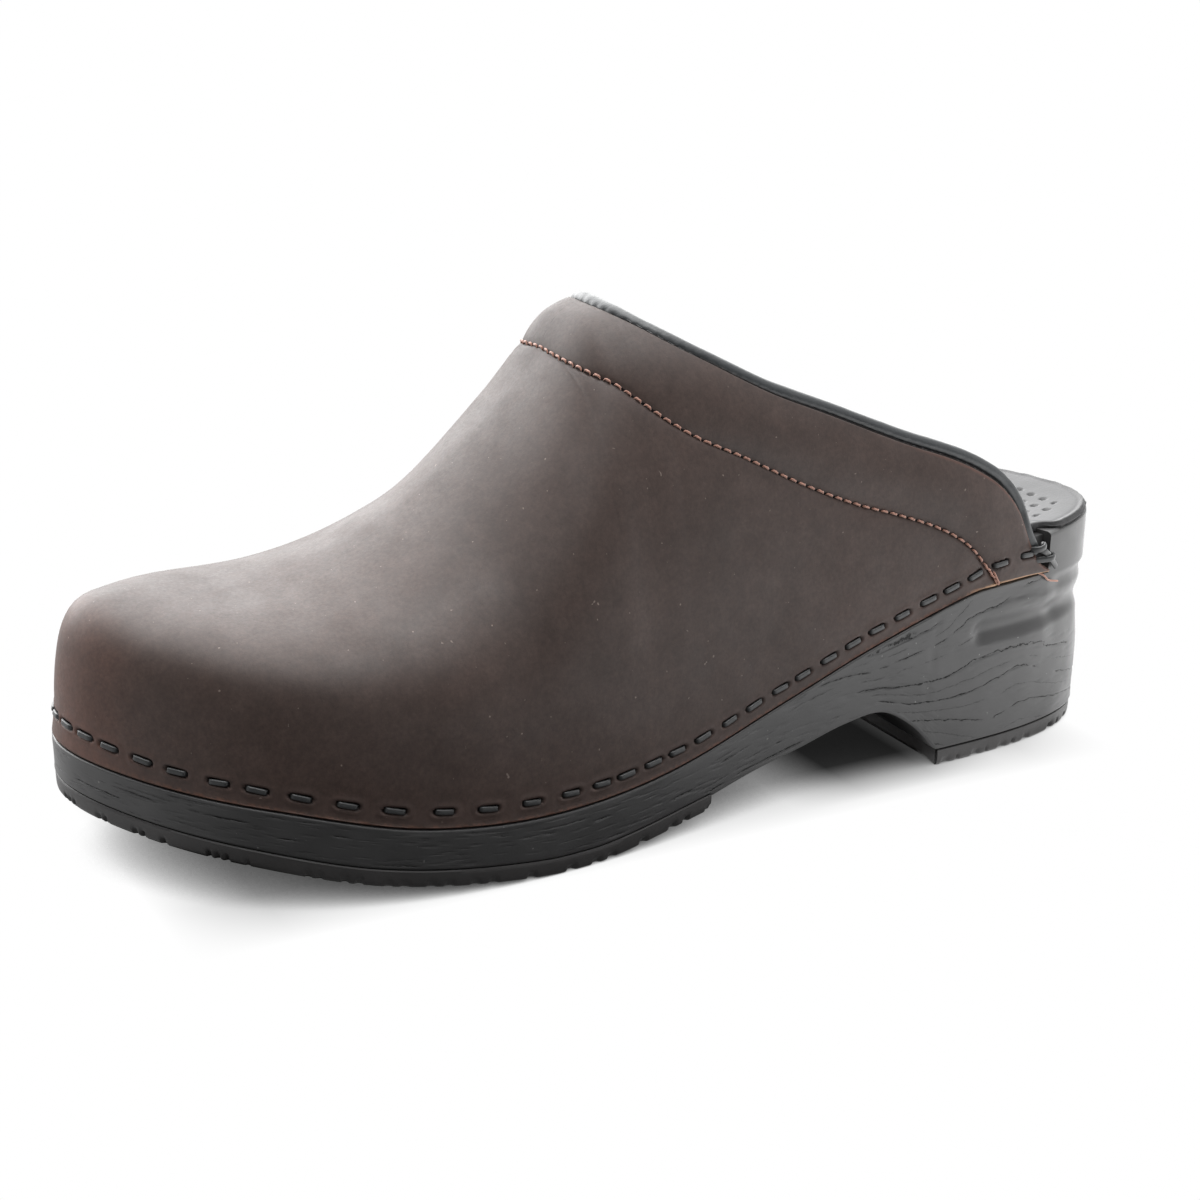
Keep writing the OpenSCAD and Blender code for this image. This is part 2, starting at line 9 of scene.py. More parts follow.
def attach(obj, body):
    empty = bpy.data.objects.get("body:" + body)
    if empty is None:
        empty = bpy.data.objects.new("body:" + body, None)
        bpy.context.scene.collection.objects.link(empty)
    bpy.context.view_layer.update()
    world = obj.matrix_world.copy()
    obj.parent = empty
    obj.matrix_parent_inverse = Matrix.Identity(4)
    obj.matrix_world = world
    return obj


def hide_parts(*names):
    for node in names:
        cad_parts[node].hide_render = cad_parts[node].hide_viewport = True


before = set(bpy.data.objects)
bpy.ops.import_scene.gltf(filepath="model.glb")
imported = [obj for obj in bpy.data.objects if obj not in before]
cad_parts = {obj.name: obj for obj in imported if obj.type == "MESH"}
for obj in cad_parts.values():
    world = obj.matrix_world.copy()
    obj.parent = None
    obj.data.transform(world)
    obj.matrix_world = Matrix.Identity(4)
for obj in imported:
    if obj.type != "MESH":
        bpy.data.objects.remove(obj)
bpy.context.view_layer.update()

# ---------------------------------------------------------------- sizes of the clog, in millimetres
MM = 0.001
LEATHER_T = 2.2
LINING_OUT = 3.3
LINING_T = 1.1
SEAT_GAP = 0.3
FLANGE_IN = 2.7
CAVITY_IN = 5.2
FLANGE_H = 10.0
SOCK_T = 1.5
COLLAR_PUFF = 1.6
BINDING_R = 2.3
BINDING_END = 0.975
CORD_STITCH = 5.0
CORD_WIDE = 0.70       # half the width of the cord where it lies in its slot
CORD_THICK = 0.62
SLOT_R = 1.02          # half the width of a slot
CORD_ROW = 4.8
CORD_RISE = 2.2        # the row of stitches climbs this much towards the rear corner
CORD_START = 4.4       # distance of the first stitch from the knot
CORD_PITCH = ([-147, -143, -136, -115, -70, -45, -20, 120], [5.2, 7.2, 9.2, 9.6, 11.4, 11.2, 8.2, 8.9])
SEAM_PITCH = 3.0
REAR_Y = 117.0
SEAM_REAR_Y = 99.0
BLOCK_Y = 118.5
FORE_END = 6.0
BREAST_Y = 82.0
FORE_TREAD_T = 4.7
HEEL_TREAD_T = 4.8
HEEL_RIM_Z = 63.8
RIM_SLOPE = 0.06
RIDGE_X = -7.0
SPINE_Y = -95.0
SPINE_BLEND = 24.0

# The sole's outline as a closed cubic B-spline, from the back of the heel along the outer side to
# the toe and back along the inner side
OUTLINE = np.array([
    [11.5, 147], [29, 140], [38.5, 111], [39.5, 73], [40.5, 30.5], [48.5, -10.5], [53, -50.5],
    [48.5, -89], [36, -118.5], [15, -137], [-11, -149.5], [-35, -138], [-49, -105], [-53, -68],
    [-47, -25], [-36, 15], [-32, 55], [-33.5, 98], [-30, 132.5], [-11, 141],
], float)

# Smooth curves along the length: places in y, and the height or shape there
TREAD = ([-150, -115, -85, -55, -30, 6], [18.4, 12, 5.1, 1.2, 0, 5])
EDGE = ([-150, -110, -75, -40, -5, 30, 60, 90, 105, 120],
        [32.5, 26.3, 18.7, 16.4, 19.7, 29.2, 39.3, 48.1, 49.4, 49.5])
WAIST = ([6, 20, 35, 50, 62, 72, 80, 86], [9, 12.2, 15, 18.6, 19.5, 14, 6.1, -2.2])
SOCK = ([-150, -110, -75, -40, -5, 30, 60, 90, 113, 150],
        [39, 33.3, 25.7, 23.4, 27, 38, 49, 58, 61.9, 64.1])
RIDGE = ([-150, -130, -115, -95, -75, -55, -38, -24, -10, 20, 60, 120],
         [82, 70, 66.9, 66.2, 71.3, 81.3, 95, 108.6, 125.4, 139, 141, 136])
TOP = ([-20, -5, 10, 30, 46, 67, 84, 93, 100.5, 106, 109, 111.5, 114, 117],
       [137, 128.4, 119.4, 108.5, 101.7, 92.6, 86, 81.5, 76.2, 69.5, 62.5, 57.2, 53.6, 51.3])
INNER_DROP = ([28, 58, 92, 106], [0, 2.7, 2.7, 0])   # the top line is this much lower on the inner side
SEAM = ([-22, -15, -6.5, 5.5, 20, 36, 52, 66, 79, 88.5, 95.5, 99],
        [118.5, 115.8, 109.5, 101.2, 93.8, 85.4, 78.2, 73.3, 68, 62, 54.2, 49.6])
SHAPE_Y = [-145, -125, -105, -85, -65, -45, -15, 0]
FLAT = (SHAPE_Y, [4.3, 5.5, 6.5, 7, 7, 5, 2.5, 2.3])
WALL = (SHAPE_Y, [4.6, 5.5, 6, 6, 5.5, 4.2, 2.1, 2])
ROOF = (SHAPE_Y, [0, 0.04, 0.1, 0.19, 0.27, 0.3, 0, 0])     # fall from the ridge to the shoulder
LEAN = (SHAPE_Y, [0.08, 0.073, 0.062, 0.05, 0.042, 0.04, 0.04, 0.04])


# ---------------------------------------------------------------- the clog's surfaces
def curve(stations, y):
    """Smooth curve through the stations, at y."""
    ys = np.asarray(stations[0], float)
    zs = np.asarray(stations[1], float)
    last = len(ys) - 1
    y = np.clip(y, ys[0], ys[-1])
    i = np.clip(np.searchsorted(ys, y, side="right") - 1, 0, last - 1)
    index = np.arange(last + 1)
    before = np.maximum(index - 1, 0)
    after = np.minimum(index + 1, last)
    slope = (zs[after] - zs[before]) / (ys[after] - ys[before])
    h = ys[i + 1] - ys[i]
    u = (y - ys[i]) / h
    v = 1 - u
    rise = zs[i] * v * v * (1 + 2 * u) + slope[i] * h * u * v * v
    return rise + zs[i + 1] * u * u * (3 - 2 * u) - slope[i + 1] * h * u * u * v


def smooth(a, b, x):
    """0 below a, 1 above b, and an even rise between."""
    u = np.clip((x - a) / (b - a), 0, 1)
    return u * u * (3 - 2 * u)


def outline(t):
    t = np.asarray(t, float)
    i = np.floor(t).astype(int)
    u = (t - i)[..., None]
    v = 1 - u
    n = len(OUTLINE)
    near = v**3 * OUTLINE[(i - 1) % n] + (3 * u**3 - 6 * u * u + 4) * OUTLINE[i % n]
    ahead = (3 * v**3 - 6 * v * v + 4) * OUTLINE[(i + 1) % n] + u**3 * OUTLINE[(i + 2) % n]
    return (near + ahead) / 6


def outward(t):
    d = outline(np.asarray(t) + 0.01) - outline(np.asarray(t) - 0.01)
    d /= np.linalg.norm(d, axis=-1, keepdims=True)
    return np.stack([-d[..., 1], d[..., 0]], -1)


def lift(xy, z):
    return np.concatenate([xy, np.broadcast_to(z, xy.shape[:-1])[..., None]], -1)


T_FINE = np.linspace(0, 20, 40001)
OUT_FINE = outline(T_FINE)
TIP = 18000 + int(np.argmin(OUT_FINE[18000:22001, 1]))
TIP_T = T_FINE[TIP]
TIP_Y = OUT_FINE[TIP, 1]
ARC_FINE = np.concatenate([[0], np.cumsum(np.linalg.norm(np.diff(OUT_FINE, axis=0), axis=1))])
PERIMETER = ARC_FINE[-1]


def side_t(side, y):
    """Parameter of the outline at y on the outer (side 1) or inner (side -1) side."""
    if side > 0:
        part = slice(2000, TIP + 1)
        return np.interp(-np.asarray(y), -OUT_FINE[part, 1], T_FINE[part])
    part = slice(TIP, 37001)
    return np.interp(y, OUT_FINE[part, 1], T_FINE[part])


def ridge_foot(y):
    e = np.asarray(y, float) - SPINE_Y
    return np.stack([np.full_like(e, RIDGE_X), SPINE_Y + (e + np.sqrt(e * e + SPINE_BLEND**2)) / 2], -1)


def arch(y, phi):
    """Shape of the arch at phi: fraction of the way out from the ridge, and of the way up to it."""
    out = np.maximum(np.cos(phi), 1e-17) ** (2 / curve(FLAT, y))
    up = np.maximum(np.sin(phi), 0) ** (2 / curve(WALL, y))
    return out, up * (1 - curve(ROOF, y) * out**1.7)


def skin_base(t, phi, d):
    wall = outline(t)
    y = wall[..., 1]
    foot = ridge_foot(y)
    s, w = arch(y, phi)
    reach = (s * (1 - curve(LEAN, y) * w))[..., None]
    p = foot + (wall - np.asarray(d)[..., None] * outward(t) - foot) * reach
    z0 = curve(EDGE, y)
    return lift(p, z0 + (curve(RIDGE, p[..., 1]) - d - z0) * w)


def top_at(y, side):
    """Height of the top line on the outer (side 1) or inner (side -1) side."""
    return curve(TOP, y) - np.where(np.asarray(side) < 0, curve(INNER_DROP, y), 0.0)


def collar_place(p):
    """Place across the collar: 0 at the seam and 1 at the top line."""
    seam = curve(SEAM, p[..., 1])
    return (p[..., 2] - seam) / (top_at(p[..., 1], p[..., 0] - RIDGE_X) - seam)


def puff(c):
    return COLLAR_PUFF * np.sin(np.pi * np.clip(c, 0, 1)) ** 0.8


def skin(t, phi, d, padded=True):
    if padded:
        d = d - puff(collar_place(skin_base(t, phi, np.zeros_like(phi))))
    return skin_base(t, phi, d + np.zeros_like(phi))


def phi_at(y, z):
    """The phi at which the ray from the wall at y reaches the height z."""
    y, z = np.broadcast_arrays(np.asarray(y, float), np.asarray(z, float))
    z0 = curve(EDGE, y)
    r = np.clip((z - z0) / (curve(RIDGE, ridge_foot(y)[..., 1]) - z0), 0, 1)
    low = np.arcsin(r ** (curve(WALL, y) / 2))
    if not np.any(curve(ROOF, y)):
        return low
    high = np.full_like(low, np.pi / 2)
    for _ in range(28):
        phi = (low + high) / 2
        short = arch(y, phi)[1] < r
        low = np.where(short, phi, low)
        high = np.where(short, high, phi)
    return np.where(r >= 1, np.pi / 2, low)


def throat(c):
    """Where the line at the place c of the collar crosses the ridge."""
    y = np.linspace(-40, 20, 6001)
    seam = curve(SEAM, y)
    over = curve(RIDGE, ridge_foot(y)[..., 1]) - (seam + c * (curve(TOP, y) - seam))
    return float(y[np.argmax(over > 0)])


def collar_line(c, u):
    """Parameter and phi of the collar's point at the place c across and u along, from -1 to 1."""
    y0 = throat(c)
    y = y0 + (SEAM_REAR_Y + c * (REAR_Y - SEAM_REAR_Y) - y0) * u * u
    seam = curve(SEAM, y)
    phi = phi_at(y, seam + c * (top_at(y, u) - seam))
    phi = np.where(np.abs(u) < 1e-6, np.pi / 2, phi)
    t = np.where(u < 0, side_t(-1, y), side_t(1, y))
    return t, phi


def collar_points(c, u, d=0.0, padded=True):
    t, phi = collar_line(c, u)
    return skin(t, phi, np.zeros_like(phi) + d, padded)


def tread_at(y):
    return np.maximum(curve(TREAD, y), 0)


def under_at(y):
    """Underside of the sole shell."""
    fore = tread_at(y) + FORE_TREAD_T + 0.05
    back = np.maximum(curve(WAIST, y), HEEL_TREAD_T + 0.05)
    return np.where(y < FORE_END, fore, back)


def rim_at(y):
    return HEEL_RIM_Z - RIM_SLOPE * (145 - y)


# ---------------------------------------------------------------- smooth noise that is the same on every run
def wave_noise(p, size, seed, octaves=3):
    """Smooth noise from -1 to 1 at the points p, with features of about `size` millimetres."""
    rng = np.random.default_rng(seed)
    total = np.zeros(p.shape[:-1])
    weight = 0.0
    for octave in range(octaves):
        k = rng.normal(size=(5, p.shape[-1]))
        k *= 2 * np.pi / (size * 1.6) * 1.9**octave / np.linalg.norm(k, axis=1, keepdims=True)
        shift = rng.uniform(0, 2 * np.pi, 5)
        bend = rng.uniform(0.6, 1.4, 5)
        for j in range(5):
            inner = p @ k[j] + shift[j]
            total += np.sin(inner + bend[j] * np.sin(p @ k[(j + 2) % 5] * 0.7 + shift[j])) * 0.6**octave
        weight += 5 * 0.6**octave
    return total / weight * 2.2


# ---------------------------------------------------------------- meshes
class Shape:
    """Points, faces and marks of a mesh, collected grid by grid."""

    def __init__(self, *marks):
        self.points = []
        self.faces = []
        self.marks = {m: [] for m in marks}
        self.count = 0

    def grid(self, p, around=False, **marks):
        n, m = p.shape[:2]
        ids = self.count + np.arange(n * m).reshape(n, m)
        if around:
            ids = np.vstack([ids, ids[:1]])
        quads = np.stack([ids[:-1, :-1], ids[1:, :-1], ids[1:, 1:], ids[:-1, 1:]], -1)
        self.points.append(p.reshape(-1, 3))
        self.faces.append(quads.reshape(-1, 4))
        self.count += n * m
        for name, rows in self.marks.items():
            rows.append(np.broadcast_to(marks.get(name, 0.0), (n, m)).reshape(-1))

    def tube(self, path, side, radii, around=12, caps=True, **marks):
        """A tube along a path. side is a direction square to the path; radii holds two radii a point."""
        path = np.asarray(path, float)
        run = np.gradient(path, axis=0)
        run /= np.linalg.norm(run, axis=1, keepdims=True)
        a = side - np.sum(side * run, 1, keepdims=True) * run
        a /= np.linalg.norm(a, axis=1, keepdims=True)
        b = np.cross(run, a)
        radii = np.broadcast_to(radii, (len(path), 2))
        angle = np.linspace(0, 2 * np.pi, around + 1)[None, :, None]
        ring = np.cos(angle) * a[:, None] * radii[:, None, :1] + np.sin(angle) * b[:, None] * radii[:, None, 1:]
        p = path[:, None] + ring
        self.grid(p, **marks)
        if caps:
            for end in (0, -1):
                cap = np.stack([p[end], np.broadcast_to(path[end], p[end].shape)])
                self.grid(cap, **{k: v if np.ndim(v) == 0 else 0.0 for k, v in marks.items()})

    def build(self, name, material, sharp=50, weld=0.004):
        mesh = bpy.data.meshes.new(name)
        points = np.concatenate(self.points) * MM
        faces = np.concatenate(self.faces)
        mesh.vertices.add(len(points))
        mesh.vertices.foreach_set("co", points.astype(np.float32).ravel())
        mesh.loops.add(faces.size)
        mesh.loops.foreach_set("vertex_index", faces.astype(np.int32).ravel())
        mesh.polygons.add(len(faces))
        mesh.polygons.foreach_set("loop_start", np.arange(0, faces.size, 4, dtype=np.int32))
        mesh.update(calc_edges=True)
        for mark, rows in self.marks.items():
            layer = mesh.attributes.new(mark, "FLOAT", "POINT")
            layer.data.foreach_set("value", np.concatenate(rows).astype(np.float32))
        clean(mesh, weld * MM)
        mesh.shade_smooth()
        mesh.set_sharp_from_angle(angle=math.radians(sharp))
        mesh.materials.append(material)
        piece = bpy.data.objects.new(name, mesh)
        bpy.context.scene.collection.objects.link(piece)
        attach(piece, "root")
        return piece


def clean(mesh, weld):
    """Joins points that lie together, drops faces without area and turns all faces outwards."""
    work = bmesh.new()
    work.from_mesh(mesh)
    bmesh.ops.remove_doubles(work, verts=work.verts, dist=weld)
    bmesh.ops.dissolve_degenerate(work, edges=work.edges, dist=weld * 0.5)
    bmesh.ops.recalc_face_normals(work, faces=work.faces)
    work.to_mesh(mesh)
    work.free()


def even_rows(t, phi0, phi1, places):
    """phi for each column, from phi0 to phi1, at the given fractions of the distance over the skin."""
    v = np.linspace(0, 1, 240)
    b = curve(FLAT, outline(t)[:, 1])[:, None] / 2
    phi = phi0[:, None] + (phi1 - phi0)[:, None] * (1 - (1 - v[None]) ** b)
    p = skin_base(np.repeat(t[:, None], len(v), 1), phi, np.zeros_like(phi))
    step = np.linalg.norm(np.diff(p, axis=1), axis=2)
    s = np.concatenate([np.zeros((len(t), 1)), np.cumsum(step, axis=1)], 1)
    s /= np.maximum(s[:, -1:], 1e-9)
    return np.stack([np.interp(places, s[i], phi[i]) for i in range(len(t))])


def even_columns(y0, y1, step):
    """Places in y from y0 to y1 so that columns are about `step` apart on the longer side."""
    u = np.linspace(0, 1, 6000)
    y = y0 + (y1 - y0) * u * u
    a = np.linalg.norm(np.diff(outline(side_t(1, y)), axis=0), axis=1)
    b = np.linalg.norm(np.diff(outline(side_t(-1, y)), axis=0), axis=1)
    s = np.concatenate([[0], np.cumsum(np.maximum(a, b))])
    return np.interp(np.linspace(0, s[-1], int(math.ceil(s[-1] / step)) + 1), s, y)


# ---------------------------------------------------------------- seams and stitches of the upper
U_PATH = np.linspace(-1, 1, 2401)


def path_lengths(p):
    return np.concatenate([[0], np.cumsum(np.linalg.norm(np.diff(p, axis=0), axis=1))])


def along(p, s, at):
    """Points of the path p, with lengths s, at the given lengths."""
    return np.stack([np.interp(at, s, p[:, k]) for k in range(3)], -1)


def cord_path(depth):
    t = np.linspace(side_t(1, REAR_Y - 2.5), side_t(-1, REAR_Y - 2.5), 3000)
    y = outline(t)[:, 1]
    row = CORD_ROW + CORD_RISE * smooth(86, 106, y)
    return skin(t, phi_at(y, curve(EDGE, y) + row), np.full_like(t, depth))


def cord_stitches():
    """Start and end lengths of the cord's stitches. They are laced by hand: wider apart along the
    ball of the foot, closer round the tip of the toe, and never quite even."""
    rng = np.random.default_rng(12)
    path = cord_path(0.0)
    lengths = path_lengths(path)
    spans = []
    s = CORD_START
    while s + CORD_STITCH < lengths[-1]:
        size = CORD_STITCH * rng.uniform(0.94, 1.06)
        spans.append((s, s + size))
        y = np.interp(s, lengths, path[:, 1])
        s += curve(CORD_PITCH, y) + rng.uniform(-0.9, 0.9)
    return spans


def thread_stitches(c, pitch, size):
    p = collar_points(c, U_PATH)
    s = path_lengths(p)
    count = int((s[-1] - size) / pitch)
    start = (s[-1] - count * pitch - size) / 2
    return p, s, [(start + i * pitch, start + i * pitch + size) for i in range(count + 1)]


def surface_frames(make, lengths, at):
    """Point, run, side and outward direction on a path over the skin, at the given lengths."""
    low, high = make(0.0), make(-1.0)
    at = np.clip(at, 0, lengths[-1])
    p = along(low, lengths, at)
    out = along(high, lengths, at) - p
    run = along(low, lengths, at + 0.4) - along(low, lengths, at - 0.4)
    run /= np.linalg.norm(run, axis=1, keepdims=True)
    out -= np.sum(out * run, 1, keepdims=True) * run
    out /= np.linalg.norm(out, axis=1, keepdims=True)
    return p, run, np.cross(run, out), out


def slot_depth(p):
    """Depth of the punched slots round the cord stitches at the points p; the deep part of each slot gets painted
    shade.
    """
    make = cord_path
    lengths = path_lengths(make(0.0))
    spans = cord_stitches()
    middle = np.array([(a + b) / 2 for a, b in spans])
    c, run, side, out = surface_frames(make, lengths, middle)
    depth = np.zeros(p.shape[:-1])
    flat = p.reshape(-1, 3)
    deep = depth.reshape(-1)
    for k in range(len(spans)):
        near = np.nonzero(np.abs(flat - c[k]).max(1) < 8)[0]
        if not len(near):
            continue
        v = flat[near] - c[k]
        a, b = np.abs(v @ run[k]), v @ side[k]
        half = (spans[k][1] - spans[k][0]) / 2 + 0.55
        q = np.hypot(np.maximum(a - (half - SLOT_R), 0), b) - SLOT_R
        dent = 1.0 * (1 - smooth(-0.4, 0.12, q)) - 0.10 * np.exp(-((q - 0.6) / 0.5) ** 2)
        dent += 0.16 * np.exp(-((q - 1.5) / 1.8) ** 2) * (q > 0)
        deep[near] = np.where(np.abs(dent) > np.abs(deep[near]), dent, deep[near])
    return depth


SEAM_REACH = 2.0      # millimetres from the seam within which its marks are kept


def seam_groove(p, spans, path, lengths):
    """Depth of the groove that the collar seam pulls into the leather, the place along the seam
    counted in stitches, and the nearness to it."""
    flat = p.reshape(-1, 3)
    depth = np.zeros(len(flat))
    count = np.zeros(len(flat))
    close = np.zeros(len(flat))
    c = np.abs(collar_place(flat))
    near = np.nonzero(c < 0.35)[0]
    coarse = path[::3]
    at = lengths[::3]
    for part in np.array_split(near, max(1, len(near) // 4000)):
        d = np.linalg.norm(flat[part][:, None] - coarse[None], axis=2)
        best = d.argmin(1)
        dist = d[np.arange(len(part)), best]
        s = at[best]
        phase = (s - spans[0][1] - (SEAM_PITCH - 2.1) / 2) / SEAM_PITCH
        hole = np.exp(-(((phase - np.round(phase)) * SEAM_PITCH / 0.55) ** 2)) * np.exp(-((dist / 0.55) ** 2))
        depth[part] = 0.26 * np.exp(-((dist / 0.7) ** 2)) + 0.24 * np.exp(-((dist / 2.4) ** 2)) + 0.4 * hole
        count[part] = phase
        close[part] = np.maximum(1 - dist / SEAM_REACH, 0)
    return depth.reshape(p.shape[:-1]), count.reshape(p.shape[:-1]), close.reshape(p.shape[:-1])


# ---------------------------------------------------------------- materials
class Nodes:
    """Short names for the nodes of a material or of the world."""

    def __init__(self, tree):
        self.tree = tree
        tree.nodes.clear()

    def add(self, kind, **values):
        node = self.tree.nodes.new(kind)
        for key, value in values.items():
            setattr(node, key, value)
        return node

    def link(self, a, b):
        self.tree.links.new(a, b)

    def feed(self, socket, value):
        if isinstance(value, bpy.types.NodeSocket):
            self.link(value, socket)
        else:
            socket.default_value = value

    def stretch(self, x, y, z):
        node = self.add("ShaderNodeMapping")
        node.inputs["Scale"].default_value = (x, y, z)
        self.link(self.place, node.inputs["Vector"])
        return node.outputs[0]

    def noise(self, scale, detail=3.0, rough=0.55, place=None, warp=0.0):
        node = self.add("ShaderNodeTexNoise")
        self.link(place or self.place, node.inputs["Vector"])
        node.inputs["Scale"].default_value = scale
        node.inputs["Detail"].default_value = detail
        node.inputs["Roughness"].default_value = rough
        node.inputs["Distortion"].default_value = warp
        return node.outputs["Fac"]

    def cells(self, scale, place=None, feature="F1"):
        node = self.add("ShaderNodeTexVoronoi", feature=feature)
        self.link(place or self.place, node.inputs["Vector"])
        node.inputs["Scale"].default_value = scale
        return node.outputs["Distance"]

    def remap(self, value, a, b, c=0.0, d=1.0):
        node = self.add("ShaderNodeMapRange")
        self.link(value, node.inputs["Value"])
        for name, v in zip(("From Min", "From Max", "To Min", "To Max"), (a, b, c, d)):
            node.inputs[name].default_value = v
        return node.outputs[0]

    def math(self, operation, a, b=0.0):
        node = self.add("ShaderNodeMath", operation=operation)
        self.feed(node.inputs[0], a)
        self.feed(node.inputs[1], b)
        return node.outputs[0]

    def mix(self, factor, a, b):
        node = self.add("ShaderNodeMix", data_type="RGBA")
        self.feed(node.inputs[0], factor)
        self.feed(node.inputs[6], a if isinstance(a, bpy.types.NodeSocket) else (*a, 1))
        self.feed(node.inputs[7], b if isinstance(b, bpy.types.NodeSocket) else (*b, 1))
        return node.outputs[2]

    def scale(self, colour, factor):
        node = self.add("ShaderNodeVectorMath", operation="SCALE")
        self.link(colour, node.inputs[0])
        self.feed(node.inputs["Scale"], factor)
        return node.outputs[0]

    def dot(self, a, b):
        node = self.add("ShaderNodeVectorMath", operation="DOT_PRODUCT")
        self.link(a, node.inputs[0])
        node.inputs[1].default_value = b
        return node.outputs["Value"]

    def pick(self, factor, a, b):
        node = self.add("ShaderNodeMix")
        self.feed(node.inputs[0], factor)
        self.feed(node.inputs[2], a)
        self.feed(node.inputs[3], b)
        return node.outputs[0]

    def mark(self, name):
        return self.add("ShaderNodeAttribute", attribute_name=name).outputs["Fac"]


class Finish(Nodes):
    """A material with a principled surface."""

    def __init__(self, name):
        self.material = bpy.data.materials.new(name)
        self.material.use_nodes = True
        super().__init__(self.material.node_tree)
        self.skin = self.add("ShaderNodeBsdfPrincipled")
        self.link(self.skin.outputs[0], self.add("ShaderNodeOutputMaterial").inputs[0])
        self.place = self.add("ShaderNodeTexCoord").outputs["Object"]

    def set(self, name, value):
        self.feed(self.skin.inputs[name], value)

    def bump(self, height, strength, distance, under=None):
        node = self.add("ShaderNodeBump")
        node.inputs["Strength"].default_value = strength
        node.inputs["Distance"].default_value = distance
        self.link(height, node.inputs["Height"])
        if under is not None:
            self.link(under, node.inputs["Normal"])
        self.set("Normal", node.outputs[0])
        return node.outputs[0]


def plain(name, colour, rough, grain=900.0, strength=0.2, depth=0.0002):
    """A procedural material of one colour, slightly mottled, with a fine grain."""
    n = Finish(name)
    darker = tuple(c * 0.72 for c in colour)
    n.set("Base Color", n.mix(n.remap(n.noise(60.0), 0.35, 0.65), darker, colour))
    n.set("Roughness", n.remap(n.noise(140.0), 0.3, 0.7, rough - 0.06, rough + 0.06))
    n.bump(n.noise(grain, 4.0), strength, depth)
    return n.material


def leather():
    n = Finish("oiled_nubuck")
    cloud = n.remap(n.noise(22.0, 4.0, 0.6, warp=0.4), 0.36, 0.66)
    mottle = n.remap(n.noise(160.0, 5.0, 0.65), 0.3, 0.7)
    tone = n.mix(cloud, (0.025, 0.0155, 0.0128), (0.038, 0.0242, 0.0203))
    tone = n.mix(n.math("MULTIPLY", mottle, 0.35), tone, (0.052, 0.036, 0.031))
    warm = n.math("MULTIPLY", n.mark("warm"), n.remap(n.noise(45.0, 4.0), 0.3, 0.65, 0.45, 1.0))
    tone = n.mix(warm, tone, (0.125, 0.048, 0.030))
    speck = n.remap(n.noise(760.0, 1.0, 0.4), 0.775, 0.81)
    tone = n.mix(n.math("MULTIPLY", speck, 0.4), tone, (0.24, 0.19, 0.165))
    tone = n.mix(n.mark("raw"), tone, (0.36, 0.22, 0.13))
    # Painted shade: in the punched slots, in the gap under the binding and in the seam's needle holes. It turns the
    # leather near black there and takes away its highlights.
    dark = n.math("MAXIMUM", n.mark("dark"), seam_hole_shade(n))
    grain = n.remap(n.noise(900.0, 4.0, 0.7), 0.3, 0.7, 0.80, 1.20)
    patch = n.remap(n.noise(240.0, 3.0, 0.6), 0.3, 0.7, 0.88, 1.12)
    tone = n.scale(tone, n.math("MULTIPLY", grain, patch))
    tone = n.mix(dark, tone, (0.004, 0.0035, 0.0035))
    n.set("Base Color", tone)
    rough = n.remap(n.noise(75.0, 3.0), 0.3, 0.7, 0.47, 0.57)
    n.set("Roughness", n.math("ADD", rough, n.remap(n.noise(1100.0, 3.0, 0.7), 0.3, 0.7, -0.05, 0.05)))
    n.set("Specular IOR Level", n.remap(dark, 0, 1, 0.29, 0.05))
    fine = n.noise(2600.0, 3.0, 0.6)
    coarse = n.noise(420.0, 4.0, 0.6)
    under = n.bump(fine, 0.25, 0.00008)
    n.bump(coarse, 0.20, 0.00018, under)
    return n.material


def seam_hole_shade(n):
    """Painted shade in the needle holes between the stitches of the collar seam."""
    place = n.math("SUBTRACT", n.math("FRACT", n.math("ADD", n.mark("stitch"), 0.5)), 0.5)
    off = n.math("MULTIPLY", n.math("ABSOLUTE", place), SEAM_PITCH)
    side = n.math("MULTIPLY", n.math("SUBTRACT", 1.0, n.mark("close")), SEAM_REACH)
    gap = n.math("MULTIPLY", n.remap(off, 0.5, 0.72, 1.0, 0.0), n.remap(side, 0.26, 0.40, 1.0, 0.0))
    return gap


def sole_rubber():
    n = Finish("moulded_sole")
    tone = n.mix(n.remap(n.noise(70.0, 4.0), 0.3, 0.7), (0.023, 0.0227, 0.023), (0.032, 0.0315, 0.032))
    speck = n.remap(n.noise(900.0, 1.0, 0.3), 0.79, 0.82)
    tone = n.mix(n.math("MULTIPLY", speck, 0.4), tone, (0.25, 0.25, 0.24))
    lines = grain_mask(n)
    # Darkened where the grain lines run, and with painted shade on the shell's inner ledge and flange.
    dark = n.math("MAXIMUM", n.mark("dark"), lines)
    n.set("Base Color", n.mix(n.math("MULTIPLY", dark, 0.85), tone, (0.0015, 0.0015, 0.0015)))
    n.set("Specular IOR Level", n.remap(dark, 0, 1, 0.5, 0.16))
    n.set("Roughness", n.remap(n.noise(110.0, 4.0), 0.3, 0.7, 0.36, 0.46))
    under = n.bump(n.noise(1500.0, 3.0), 0.10, 0.0001)
    n.bump(n.math("SUBTRACT", 1.0, lines), 0.5, 0.0002, under)
    return n.material


